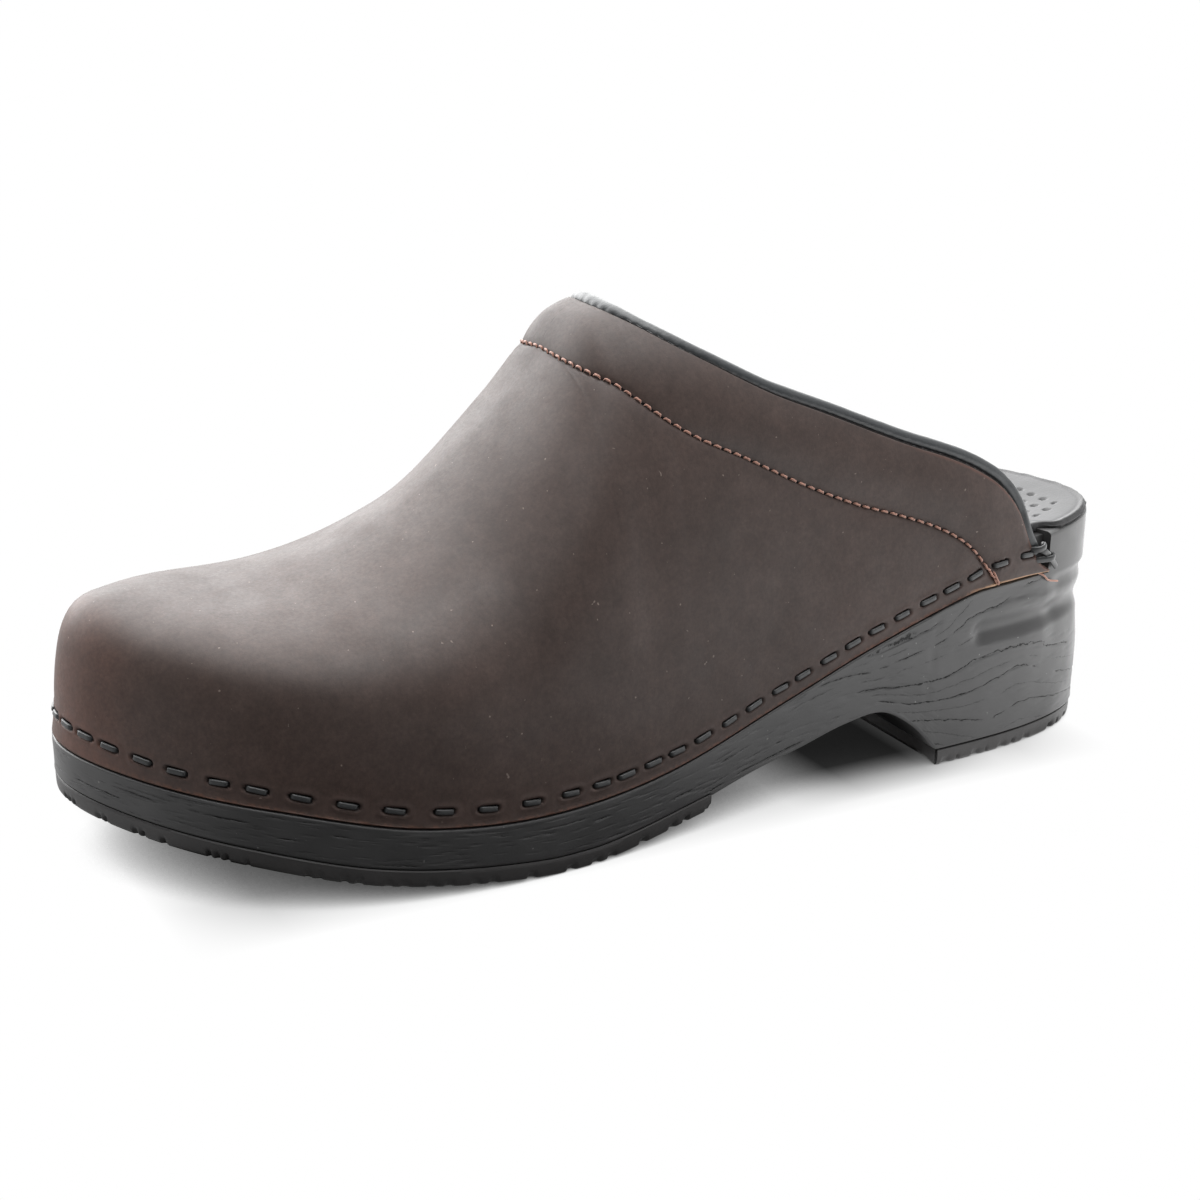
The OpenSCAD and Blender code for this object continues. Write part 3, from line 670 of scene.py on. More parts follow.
def grain_mask(n):
    """Thin beaded lines along the courses of the grain."""
    wiggle = n.remap(n.noise(330.0, 3.0), 0.3, 0.7, -0.035, 0.035)
    level = n.math("ADD", n.mark("level"), wiggle)
    beads = n.remap(n.noise(900.0, 2.0, 0.6), 0.35, 0.65, -0.08, 0.16)
    total = 0.0
    for shift, mark in ((0.5, "shown"), (0.0, "half")):
        place = n.math("SUBTRACT", n.math("FRACT", n.math("ADD", level, shift)), 0.5)
        off = n.math("MULTIPLY", n.math("ABSOLUTE", place), n.mark("pitch"))
        edge = n.math("DIVIDE", n.math("SUBTRACT", n.math("ADD", beads, 0.14), off), 0.14)
        line = n.math("MULTIPLY", n.math("MINIMUM", n.math("MAXIMUM", edge, 0.0), 1.0), n.mark(mark))
        total = n.math("MAXIMUM", total, line)
    return total


def cord_material():
    n = Finish("black_cord")
    n.set("Base Color", n.mix(n.noise(500.0), (0.008, 0.0085, 0.009), (0.018, 0.019, 0.020)))
    n.set("Roughness", 0.42)
    n.set("Specular IOR Level", 0.55)
    n.bump(n.noise(1800.0, 4.0), 0.25, 0.00015)
    return n.material


def binding_material():
    n = Finish("binding_leather")
    n.set("Base Color", n.mix(n.noise(120.0, 4.0), (0.013, 0.0145, 0.016), (0.024, 0.027, 0.029)))
    n.set("Roughness", n.remap(n.noise(300.0, 3.0), 0.3, 0.7, 0.32, 0.44))
    n.set("Specular IOR Level", 0.46)
    under = n.bump(n.cells(1300.0), 0.22, 0.00016)
    n.bump(n.noise(260.0, 3.0), 0.15, 0.0003, under)
    return n.material


def thread_material():
    n = Finish("rust_thread")
    n.set("Base Color", n.mix(n.noise(900.0, 3.0), (0.20, 0.090, 0.060), (0.36, 0.180, 0.130)))
    n.set("Roughness", 0.6)
    n.set("Sheen Weight", 0.3)
    n.bump(n.noise(3000.0, 2.0, place=n.stretch(1.0, 1.0, 2.2)), 0.3, 0.0001)
    return n.material


def sock_material():
    n = Finish("sock_leather")
    tone = n.mix(n.remap(n.noise(90.0, 4.0), 0.3, 0.7), (0.021, 0.021, 0.022), (0.036, 0.036, 0.038))
    # The dark mark: painted shade in the punched holes and under the rim's edge, and the rim edge's own dark finish.
    tone = n.mix(n.mark("dark"), tone, (0.006, 0.006, 0.006))
    n.set("Base Color", tone)
    n.set("Roughness", n.remap(n.mark("dark"), 0, 1, 0.5, 0.38))
    n.set("Specular IOR Level", 0.4)
    n.bump(n.cells(1500.0), 0.2, 0.00018)
    return n.material


def make_materials():
    return {
        "leather": leather(),
        "sole": sole_rubber(),
        "cord": cord_material(),
        "binding": binding_material(),
        "thread": thread_material(),
        "sock": sock_material(),
        "tread": plain("tread_rubber", (0.032, 0.030, 0.030), 0.46, 700.0, 0.2, 0.0002),
        "black_thread": plain("black_thread", (0.010, 0.010, 0.011), 0.5, 2500.0, 0.3, 0.0001),
        "lining": plain("lining_leather", (0.24, 0.19, 0.145), 0.7, 1300.0, 0.3, 0.0002),
        "steel": plain("shank_steel", (0.45, 0.45, 0.47), 0.35, 300.0, 0.1, 0.0001),
        "board": plain("fibre_board", (0.36, 0.27, 0.17), 0.85, 500.0, 0.5, 0.0003),
        "foam": plain("footbed_foam", (0.14, 0.14, 0.15), 0.9, 900.0, 0.7, 0.0004),
        "pad": plain("heel_pad_gel", (0.03, 0.09, 0.27), 0.5, 400.0, 0.2, 0.0002),
        "cork": plain("arch_pad_cork", (0.50, 0.33, 0.17), 0.85, 260.0, 0.8, 0.0006),
        "puff": plain("toe_puff_fibre", (0.60, 0.54, 0.43), 0.85, 600.0, 0.5, 0.0003),
        "padding": plain("collar_foam", (0.70, 0.62, 0.32), 0.9, 900.0, 0.6, 0.0004),
        "tape": plain("reinforcing_tape", (0.80, 0.79, 0.76), 0.8, 1200.0, 0.5, 0.0002),
    }


# ---------------------------------------------------------------- leather upper
VAMP_STEP = 0.62
BAND_ROWS = [0.9, 1.6, 2.2, 2.6, 3.0, 3.35, 3.7, 4.05, 4.4, 4.75, 5.1, 5.45, 5.8, 6.15, 6.5, 6.9, 7.5, 8.4, 9.6]


def upper_columns():
    """Rows in y of the vamp, and which of them reach the collar seam."""
    seam_throat = throat(0.0)
    front = even_columns(TIP_Y, seam_throat, VAMP_STEP)
    back = even_columns(seam_throat, SEAM_REAR_Y - 0.05, VAMP_STEP)
    return np.concatenate([front, back[1:]]), len(front) - 1


def both_sides(y):
    """Parameters of the columns from the outer rear round the toe to the inner rear."""
    return np.concatenate([side_t(1, y[::-1]), side_t(-1, y[1:])])


def vamp_phi(t, y, reach, rows):
    """phi of the vamp's rows: a fine band over the edge, then even rows up to the seam or ridge."""
    to_seam = y >= reach - 1e-9
    top = np.where(to_seam, phi_at(y, curve(SEAM, y)), np.pi / 2)
    height = np.where(to_seam, curve(SEAM, y), curve(RIDGE, ridge_foot(y)[:, 1])) - curve(EDGE, y)
    scale = np.minimum(1, height * 0.82 / BAND_ROWS[-1])
    band = np.stack([phi_at(y, curve(EDGE, y) + h * scale) for h in BAND_ROWS], 1)
    rest = even_rows(t, band[:, -1], top, rows)
    return np.concatenate([band, rest[:, 1:]], 1)


def below_top(p):
    """Distance of the points p below the top line, square to it."""
    y = p[..., 1]
    slope = curve(TOP, y + 0.5) - curve(TOP, y - 0.5)
    return (top_at(y, p[..., 0] - RIDGE_X) - p[..., 2]) / np.sqrt(1 + slope * slope)


def leather_depth(t, phi, seam):
    """How far the worked surface lies under the plain skin."""
    p = skin(t, phi, np.zeros_like(phi))
    recess = 0.5 * (1 - smooth(0.2, 0.7, below_top(p)))
    path, lengths, spans = seam
    slots = slot_depth(p)
    groove, count, close = seam_groove(p, spans, path, lengths)
    slack = 0.22 * wave_noise(p, 60, 3, 2) + 0.05 * wave_noise(p, 14, 5, 2)
    edge = smooth(0, 14, p[..., 2] - curve(EDGE, p[..., 1]))
    return p, slots + groove + slack * edge + recess, (slots, count, close)


def leather_marks(p, slots, count, close):
    above = p[..., 2] - curve(EDGE, p[..., 1])
    gap = below_top(p)
    toe = 1 - smooth(-146, -128, p[..., 1])
    low = (1 - smooth(3, 26, above)) * 0.04
    fold = 0.45 * np.exp(-(((gap - 0.8) / 0.4) ** 2)) * smooth(60, 95, p[..., 1])
    warm = np.clip(toe * 0.36 + low + fold, 0, 1)
    # The pale raw edge along the bottom, kept dark by painted shade ahead of the rear corner.
    raw = (1 - smooth(0.75, 1.0, above)) * raw_edge_unshaded(p[..., 1])
    # Painted shade in the narrow gap along the top line under the binding, fading out behind the binding's end, and in
    # the deep part of the punched slots.
    binding_gap_shade = 0.95 * (1 - smooth(0.25, 0.6, gap)) * (1 - smooth(111, 113, p[..., 1]))
    dark = np.maximum(smooth(0.25, 0.8, slots), binding_gap_shade)
    return {"warm": warm, "raw": raw, "dark": dark, "stitch": count, "close": close}


def vamp_patch(shape, y, seam):
    """The leather below the collar seam, round the whole toe."""
    t = both_sides(y)
    yy = outline(t)[:, 1]
    rows = np.concatenate([np.linspace(0, 0.93, 34), [0.95, 0.965, 0.976, 0.985, 0.993, 1.0]])
    phi = vamp_phi(t, yy, throat(0.0), rows)
    tt = np.repeat(t[:, None], phi.shape[1], 1)
    p, depth, worked = leather_depth(tt, phi, seam)
    outer = skin(tt, phi, depth)
    shape.grid(outer, **leather_marks(p, *worked))
    pick = np.concatenate([[0], np.arange(6, phi.shape[1] - 1, 7), [phi.shape[1] - 1]])
    inner = skin(tt[:, pick], phi[:, pick], LEATHER_T, False)
    shape.grid(inner)
    # The lower edge: pale raw edge at the rear corner, painted shade ahead of it.
    shape.grid(lower_edge(t, outer[:, 0], inner[:, 0]), warm=0.4, raw=raw_edge_unshaded(yy)[:, None])


def collar_patch(shape, side, y, seam):
    """The leather above the collar seam on one side, and behind the seam down to the lower edge."""
    t = side_t(side, y)
    top_throat = throat(1.0)
    high = np.where(y > top_throat, phi_at(y, top_at(y, side)), np.pi / 2)
    low = np.where(y < SEAM_REAR_Y - 0.06, phi_at(y, curve(SEAM, y)), phi_at(y, curve(EDGE, y) + BAND_ROWS[0] * 0.6))
    rows = np.concatenate([[0, 0.012, 0.026, 0.042, 0.06, 0.08], np.linspace(0.1, 0.84, 34), np.linspace(0.85, 1, 20)])
    phi = even_rows(t, low, high, rows)
    tt = np.repeat(t[:, None], phi.shape[1], 1)
    p, depth, worked = leather_depth(tt, phi, seam)
    outer = skin(tt, phi, depth)
    shape.grid(outer, **leather_marks(p, *worked))
    pick = np.array([0, 8, 17, 27, 37, 47, len(rows) - 1])
    inner = skin(tt[:, pick], phi[:, pick], LEATHER_T, False)
    shape.grid(inner)
    # Painted shade on the leather's top cut edge, under the binding.
    shape.grid(np.stack([outer[:, -1], inner[:, -1]], 1), dark=0.5)
    back = y >= SEAM_REAR_Y - 0.06
    edge = lower_edge(t[back], outer[back][:, 0], inner[back][:, 0])
    # The lower edge behind the seam: pale raw edge towards the rear corner, painted shade ahead of it.
    shape.grid(edge, warm=0.4, raw=raw_edge_unshaded(y[back])[:, None])
    rear = 0 if y[0] > y[-1] else -1
    shape.grid(np.stack([outer[rear, pick], inner[rear]], 0), raw=1.0)


def raw_edge_unshaded(y):
    """How much of the pale raw edge shows: all of it at the rear corner, and little at the front, where the edge is
    painted dark for the shade it lies in.
    """
    return 0.03 + 0.8 * smooth(86, 98, y)


def leather_upper(m):
    shape = Shape("warm", "raw", "dark", "stitch", "close")
    y, first = upper_columns()
    seam = thread_stitches(0.0, SEAM_PITCH, 2.1)
    vamp_patch(shape, y, seam)
    tail = even_columns(SEAM_REAR_Y - 0.05, REAR_Y, VAMP_STEP * 0.8)
    collar = np.concatenate([y[first:], tail[1:]])
    collar_patch(shape, 1, collar[::-1], seam)
    collar_patch(shape, -1, collar, seam)
    piece = shape.build("upper_leather", m["leather"], 60, 0.012)
    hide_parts("leather_upper")


def lower_edge(t, outer, inner):
    """Rounded lower edge of the leather, standing on the ledge."""
    foot = curve(EDGE, outline(t)[:, 1]) + SEAT_GAP
    rows = [outer]
    for depth, height in ((0.05, 0.45), (0.3, 0.12), (0.8, 0.0), (1.5, 0.0), (1.95, 0.15)):
        rows.append(lift(outline(t) - depth * outward(t), foot + height))
    rows.append(inner)
    return np.stack(rows, 1)


# ---------------------------------------------------------------- sole shell
SHELL_STEP = 1.2
SHELL_BACK_Y = 110.0
GROOVE_Y = 94.5        # middle of the rounded front end of the heel's side groove
GROOVE_Z = 36.9
GROOVE_HALF = 5.0
BAND_Z = 47.6          # lower edge of the band round the top of the heel block
MOULD_Y = 77.5


def loop_columns(step, extra=()):
    """Outline parameters once round the sole, paired in y ahead of the heel's back."""
    y = even_columns(TIP_Y, SHELL_BACK_Y, step)
    a, b = both_sides(y)[0], both_sides(y)[-1]
    sides = both_sides(y)
    arc = np.interp([b, a + 20], np.concatenate([T_FINE, T_FINE[1:] + 20]),
                    np.concatenate([ARC_FINE, ARC_FINE[1:] + PERIMETER]))
    n = int((arc[1] - arc[0]) / step)
    back = np.interp(np.linspace(arc[0], arc[1], n + 1)[1:-1],
                     np.concatenate([ARC_FINE, ARC_FINE[1:] + PERIMETER]),
                     np.concatenate([T_FINE, T_FINE[1:] + 20]))
    more = [side_t(side, v) + (20 if side > 0 else 0) for side in (1, -1) for v in extra]
    back = np.sort(np.concatenate([back, more]))
    return np.concatenate([sides, back])


def arc_of(t):
    return np.interp(np.mod(t, 20), T_FINE, ARC_FINE)


def spine_of(y):
    return np.stack([np.full_like(y, 1.0), np.clip(y, -95, SHELL_BACK_Y)], -1)


# Courses of the wood grain: heights of four long lines of the grain along the sole
GRAIN_Y = [-150, -110, -75, -40, -5, 20, 43, 60, 70, 81, 91, 100, 111, 125, 143]
GRAIN = (
    (GRAIN_Y, [24.3, 16.9, 9.4, 6.5, 9.1, 13.9, 18, 17, 15.6, 14, 12, 10.4, 12.7, 11, 7.3]),
    (GRAIN_Y, [26.7, 19.7, 12.1, 9.4, 12.3, 17.4, 21, 23.6, 21, 20, 20.2, 22, 24.2, 18.5, 12.6]),
    (GRAIN_Y, [29.1, 22.5, 14.9, 12.3, 15.4, 21, 27, 27, 26, 26, 28.1, 29, 28.8, 26.4, 22.5]),
    (GRAIN_Y, [31.6, 25.2, 17.6, 15.3, 18.5, 24.6, 31.8, 32, 33.4, 36.3, 42.7, 44.2, 48, 49, 46]),
)


def grain_field(s, y, z):
    """Which course of the grain a point lies on, counted upwards, and the distance between courses."""
    heights = [curve(course, y) for course in GRAIN]
    spread = (heights[3] - heights[0]) / 3
    heights = [heights[0] - spread] + heights + [heights[3] + spread]
    level = np.zeros_like(z)
    pitch = np.zeros_like(z)
    for low, high in zip(heights[:-1], heights[1:]):
        level += np.clip((z - low) / (high - low), 0, 1)
        pitch += (high - low) * ((z >= low) & (z < high))
    pitch = np.where(pitch > 0, pitch, spread)
    run = np.stack([s, z * 2.6], -1)
    level += (0.65 * wave_noise(run, 44, 21, 2) + 0.14 * wave_noise(run, 9, 23, 2)) / spread
    return level, pitch


def grain_lines(s, y, z):
    """The grain moulded into the side wall: its level, how much of it shows, and its depth."""
    level, pitch = grain_field(s, y, z)
    share = -0.02 + 0.20 * smooth(-20, 40, y) + 0.42 * smooth(50, 84, y)
    masks = []
    depth = 0.0
    for half, size in ((0.0, 1.0), (0.5, 0.4)):
        ring = np.round(level - half)
        along = np.stack([s, ring * 40 + half * 300], -1)
        shown = smooth(0.2, 0.45, wave_noise(along, 26, 31, 2) * 0.6 + wave_noise(along, 6, 33, 2) * 0.35 + share)
        off = (level - half - ring) * pitch
        depth = depth + 0.20 * size * np.exp(-((off / 0.33) ** 2)) * shown
        masks.append(size * shown)
    pores = smooth(0.62, 0.9, wave_noise(np.stack([s * 0.45, z * 1.6], -1), 2.2, 43, 2)) * 0.10
    return level, pitch, masks, depth + pores


def heel_profile(y, z):
    """Depth of the channel round the heel and of the step below the heel block's band."""
    ahead = np.maximum(GROOVE_Y - y, 0)
    tall = GROOVE_HALF - 0.5 * smooth(105, 140, y)
    q = np.hypot(ahead, z - GROOVE_Z) / tall
    deep = 1.6 - 0.8 * smooth(122, 141, y)
    channel = deep * (0.5 + 0.5 * np.cos(np.pi * np.minimum(q, 1))) * smooth(GROOVE_Y - 9, GROOVE_Y, y)
    lip = -0.35 * np.exp(-(((z - GROOVE_Z - tall - 1.0) / 1.5) ** 2)) * smooth(GROOVE_Y, GROOVE_Y + 12, y)
    step = 1.0 * (1 - smooth(BAND_Z - 2.0, BAND_Z + 0.8, z)) * smooth(BLOCK_Y - 1, BLOCK_Y + 7, y)
    step = step * smooth(20, GROOVE_Z, z)
    return channel + lip + step


def wall_depth(t, y, z, low):
    """Depth of the wall's relief, and the marks that draw its grain."""
    s = arc_of(t)
    inside = smooth(0.4, 1.6, z - low) * smooth(0.6, 1.6, curve(EDGE, y) - z)
    inside = np.where(y > BLOCK_Y - 1, smooth(0.4, 1.6, z - low) * (1 - smooth(BAND_Z - 2, BAND_Z, z)), inside)
    channel = heel_profile(y, z)
    calm = 1 - 0.9 * smooth(0.15, 0.7, channel) * smooth(86, 92, y) * (z > GROOVE_Z - GROOVE_HALF - 2)
    level, pitch, masks, lines = grain_lines(s, y, z)
    depth = lines * inside * calm + channel
    depth += 0.16 * np.exp(-(((y - MOULD_Y - (z - 30) * 0.13) / 0.5) ** 2)) * inside * (y > 60)
    depth += 0.10 * wave_noise(np.stack([s, z], -1), 18, 47, 2) * inside
    marks = {"level": level, "pitch": pitch, "shown": masks[0] * inside * calm, "half": masks[1] * inside * calm}
    return depth, marks


def rounding(gap, r):
    """How far a rounded edge of radius r draws back at the distance gap from the corner."""
    return r - np.sqrt(np.maximum(r * r - np.maximum(r - gap, 0) ** 2, 0))


def floor_at(y):
    return curve(SOCK, y) - 8.3


def sole_shell(m):
    shape = Shape("dark", "level", "pitch", "shown", "half")
    t = loop_columns(SHELL_STEP, (BLOCK_Y,))
    start = int(np.argmin(np.abs(t - side_t(-1, BLOCK_Y))))
    stop = int(np.argmin(np.abs(t - 20 - side_t(1, BLOCK_Y))))
    y = outline(t)[:, 1]
    low = under_at(y)
    ledge = curve(EDGE, y)
    wall = shell_wall(shape, t, y, low, ledge, 124, y < BLOCK_Y - 0.01)
    base = outline(t)
    out = outward(t)
    front = np.r_[stop : len(t), 0 : start + 1]
    rings = [wall[:, -1]]
    for inset, height in ((FLANGE_IN, ledge), (FLANGE_IN, ledge + FLANGE_H), (CAVITY_IN, ledge + FLANGE_H),
                          (CAVITY_IN, floor_at(y))):
        rings.append(lift(base - inset * out, height))
    # Painted shade on the ledge, the flange and the cavity wall inside the shell, under the upper's lower edge.
    shape.grid(np.stack(rings, 1)[front], dark=0.3)
    shape.grid(spread_to_spine(base - CAVITY_IN * out, y, floor_at, 8), around=True)
    shape.grid(spread_to_spine(wall[:, 0, :2], y, under_at, 14), around=True)
    heel_block(shape, t[start : stop + 1], wall[start : stop + 1, -1])
    piece = shape.build("sole_body", m["sole"], 42, 0.01)
    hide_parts("sole_shell")


def shell_wall(shape, t, y, low, high, rows, rounded):
    """Side wall of the sole between two heights, with its relief."""
    w = np.linspace(0, 1, rows)
    z = low[:, None] + (high - low)[:, None] * w
    tt = np.repeat(t[:, None], rows, 1)
    yy = np.repeat(y[:, None], rows, 1)
    depth, marks = wall_depth(tt, yy, z, low[:, None])
    depth = depth + rounding(z - low[:, None], 0.9)
    depth = depth + rounding(high[:, None] - z, 0.6) * rounded[:, None]
    wall = lift(outline(tt) - depth[..., None] * outward(tt), z)
    shape.grid(wall, around=True, **marks)
    return wall


def heel_block(shape, t, foot):
    """The full-width block behind the upper, from the ledge's height to the rim under the sock."""
    y = outline(t)[:, 1]
    rows = 24
    low = foot[:, 2]
    high = rim_at(y) - SOCK_T - 0.1
    w = np.linspace(0, 1, rows)
    z = low[:, None] + (high - low)[:, None] * w
    tt = np.repeat(t[:, None], rows, 1)
    out = outward(t)
    depth = wall_depth(tt, np.repeat(y[:, None], rows, 1), z, low[:, None] - 20)[0]
    depth = depth + rounding(high[:, None] - z, 1.0)
    wall = lift(outline(tt) - depth[..., None] * outward(tt), z)
    wall[:, 0] = foot
    shape.grid(wall)
    inner = lift((outline(tt) - CAVITY_IN * outward(tt)), z)
    shape.grid(np.stack([wall[:, -1], inner[:, -1], lift(outline(t) - CAVITY_IN * out, floor_at(y))], 1))
    for end in (0, -1):
        s = np.linspace(0, 1, 6)[:, None, None]
        shape.grid(wall[end][None] * (1 - s) + inner[end][None] * s)


def spread_to_spine(ring, y, height, rows):
    """Rows of points from a ring of columns to the middle line, at a height that depends on y."""
    foot = spine_of(y)
    s = np.linspace(1, 0, rows + 1)[None, :, None]
    xy = foot[:, None] + (ring - foot)[:, None] * s
    return lift(xy, height(xy[..., 1]))


# ---------------------------------------------------------------- treads
def notch_depth(s, pitch, width, depth, most, seed):
    """Short cuts along a tread's edge, in groups at uneven distances."""
    k = np.round(s / pitch)
    rng = np.random.default_rng(seed)
    shift = rng.uniform(-0.2, 0.2, 400) * pitch
    size = rng.uniform(0.4, 1.0, 400)
    cuts = rng.integers(0, most + 1, 400)
    index = k.astype(int) % 400
    at = s - k * pitch - shift[index]
    cut = np.clip(np.round(at / (2.1 * width)), -cuts[index], 0)
    return depth * size[index] * (1 - smooth(0.3, 0.7, np.abs(at / width - cut * 2.1)))


def forefoot_tread(m):
    y = even_columns(TIP_Y, FORE_END, 0.5)
    t = both_sides(y)
    yy = outline(t)[:, 1]
    s = arc_of(t)
    out = outward(t)
    low = tread_at(yy)
    edge = notch_depth(s, 11.0, 1.0 + 1.2 * smooth(-120, -60, yy), 1.3, 2, 61)
    rows = []
    for up, inset in ((4.62, 0.9), (4.6, 0.45), (4.3, 0.2), (3.4, 0.2), (2.6, 0.22), (2.0, 0.25), (1.4, 0.3), (0.8, 0.4), (0.3, 0.7), (0.0, 1.2)):
        cut = edge * (1 - smooth(0.9, 2.4, up))
        rows.append(lift(outline(t) - (inset + cut)[:, None] * out, low + up))
    wall = np.stack(rows, 1)
    shape = Shape()
    shape.grid(wall)
    foot = np.stack([np.full_like(yy, 1.0), np.clip(yy, -95, FORE_END)], -1)
    n = 40
    frac = np.linspace(1, 0, n + 1)[None, :, None]
    xy = foot[:, None] + (wall[:, -1, :2] - foot)[:, None] * frac
    rib = 1.25 * smooth(0.55, 0.8, np.cos(2 * np.pi * xy[..., 1] / 7.0 + 0.5))
    inset_rows = smooth(0, 2.5, np.linalg.norm(xy - wall[:, -1, None, :2], axis=-1))
    bottom = lift(xy, tread_at(xy[..., 1]) + rib * inset_rows)
    shape.grid(bottom)
    top_xy = foot[:, None] + (wall[:, 0, :2] - foot)[:, None] * np.linspace(1, 0, 9)[None, :, None]
    top = lift(top_xy, tread_at(top_xy[..., 1]) + 4.62)
    shape.grid(top)
    for end in (0, -1):
        upper = top[end]
        lower = np.interp(np.linspace(0, 1, 9), np.linspace(0, 1, n + 1), np.arange(n + 1))
        under = bottom[end][np.round(lower).astype(int)]
        under[0] = wall[end, -1]
        shape.grid(np.stack([upper, (upper * 0.5 + under * 0.5), under], 0))
    piece = shape.build("tread_fore", m["tread"], 40, 0.01)
    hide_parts("forefoot_tread")


def heel_tread(m):
    y = np.linspace(BREAST_Y, SHELL_BACK_Y, 56)
    side = np.concatenate([side_t(1, y), side_t(-1, y[::-1]) - 20])
    arc = arc_of(np.array([side_t(1, SHELL_BACK_Y)]))[0]
    inner = arc_of(np.array([side_t(-1, SHELL_BACK_Y)]))[0] - PERIMETER
    back = np.interp(np.linspace(arc, inner, 230)[1:-1],
                     np.concatenate([ARC_FINE - PERIMETER, ARC_FINE[1:]]),
                     np.concatenate([T_FINE - 20, T_FINE[1:]]))
    t = np.concatenate([side_t(1, y), back, side_t(-1, y[::-1]) - 20])
    tm = np.mod(t, 20)
    yy = outline(tm)[:, 1]
    out = outward(tm)
    s = np.interp(tm, T_FINE, ARC_FINE)
    edge = notch_depth(s, 10.5, 2.4, 1.5, 1, 67)
    rows = []
    for up, inset in ((4.78, 1.6), (4.75, 0.9), (4.4, 0.5), (3.4, 0.4), (2.6, 0.42), (2.0, 0.45), (1.4, 0.5), (0.8, 0.65), (0.3, 0.95), (0.0, 1.5)):
        cut = edge * (1 - smooth(0.9, 2.6, up))
        rows.append(lift(outline(tm) - (inset + cut)[:, None] * out, up))
    wall = np.stack(rows, 1)
    foot = np.stack([np.full_like(yy, 1.0), np.clip(yy, BREAST_Y, SHELL_BACK_Y)], -1)
    shape = Shape()
    shape.grid(wall)
    n = 30
    xy = foot[:, None] + (wall[:, -1, :2] - foot)[:, None] * np.linspace(1, 0, n + 1)[None, :, None]
    rib = 1.4 * smooth(0.72, 0.86, np.cos(2 * np.pi * (xy[..., 1] - 91.8) / 10.5))
    inset_rows = smooth(0, 1.5, np.linalg.norm(xy - wall[:, -1, None, :2], axis=-1))
    bottom = lift(xy, rib * inset_rows)
    shape.grid(bottom)
    top = lift(foot[:, None] + (wall[:, 0, :2] - foot)[:, None] * np.linspace(1, 0, 7)[None, :, None], 4.78)
    shape.grid(top)
    for end in (0, -1):
        pick = np.round(np.linspace(0, n, 7)).astype(int)
        under = bottom[end][pick]
        shape.grid(np.stack([top[end], under], 0))
    piece = shape.build("tread_heel", m["tread"], 40, 0.01)
    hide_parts("heel_tread")


# ---------------------------------------------------------------- lacing cord
def cord_stitch(shape, make, lengths, a, b, seed):
    """One stitch of the flat-lying cord: both ends dive into the punched slot."""
    rng = np.random.default_rng(seed)
    n = 15
    v = np.linspace(-1, 1, n)
    s = (a + b) / 2 + v * ((b - a) / 2 + 0.15)
    p, run, side, out = surface_frames(make, lengths, s)
    rise = -0.28 - 1.1 * np.abs(v) ** 9
    skew = rng.uniform(-0.18, 0.18)
    path = p + out * rise[:, None] + side * (v * skew)[:, None]
    wide = CORD_WIDE * (1 - 0.10 * np.abs(v) ** 3)
    thick = CORD_THICK * (1 - 0.2 * np.abs(v) ** 6)
    ring = np.linspace(0, 2 * np.pi, 17)
    c, d = np.cos(ring), np.sin(ring)
    c = np.sign(c) * np.abs(c) ** 0.72
    d = np.sign(d) * np.abs(d) ** 0.72
    d = d * (1 - 0.20 * np.exp(-((c / 0.45) ** 2)) * (d > 0))
    p = path[:, None] + side[:, None] * (wide[:, None] * c)[..., None] + out[:, None] * (thick[:, None] * d)[..., None]
    shape.grid(p)
    for end in (0, -1):
        shape.grid(np.stack([p[end], np.broadcast_to(path[end], p[end].shape)]))


def lacing_cord(m):
    shape = Shape()
    lengths = path_lengths(cord_path(0.0))
    for k, (a, b) in enumerate(cord_stitches()):
        cord_stitch(shape, cord_path, lengths, a, b, 100 + k)
    piece = shape.build("lacing", m["cord"], 60, 0.002)
    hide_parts("lacing_cord")


# ---------------------------------------------------------------- seams
def seam_make(depth):
    t, phi = collar_line(0.0, U_PATH)
    return skin(t, phi, np.full_like(t, depth), False)


def thread_stitch(shape, make, lengths, a, b, tilt, radius, lifted):
    n = 9
    v = np.linspace(-1, 1, n)
    s = (a + b) / 2 + v * (b - a) / 2
    p, run, side, out = surface_frames(make, lengths, s)
    rise = lifted * (1 - np.abs(v) ** 3) - 0.75 * np.abs(v) ** 5
    path = p + out * rise[:, None] + side * (v * tilt)[:, None]
    ring = np.linspace(0, 2 * np.pi, 11)
    twist = radius * (1 + 0.16 * np.cos(2 * (ring[None] - s[:, None] * 2.6)))
    twist = twist * (1 - 0.3 * np.abs(v) ** 4)[:, None]
    p = path[:, None] + side[:, None] * (twist * np.cos(ring))[..., None] + out[:, None] * (twist * np.sin(ring))[..., None]
    shape.grid(p)
    for end in (0, -1):
        shape.grid(np.stack([p[end], np.broadcast_to(path[end], p[end].shape)]))


def collar_seam(m):
    shape = Shape()
    path, lengths, spans = thread_stitches(0.0, SEAM_PITCH, 2.1)
    rng = np.random.default_rng(5)
    for k, (a, b) in enumerate(spans):
        thread_stitch(shape, seam_make, lengths, a - 0.05, b + 0.05, 0.06 + rng.uniform(-0.06, 0.06), 0.30, -0.12)
        if k > len(spans) - 4 or k < 3:
            thread_stitch(shape, seam_make, lengths, a + 1.3, b + 1.2, -0.35, 0.27, 0.12)
    piece = shape.build("collar_seam", m["thread"], 60, 0.002)
    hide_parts("collar_stitching")


def edge_make(depth):
    t, phi = collar_line(0.985, U_PATH)
    return skin(t, phi, np.full_like(t, depth), False)


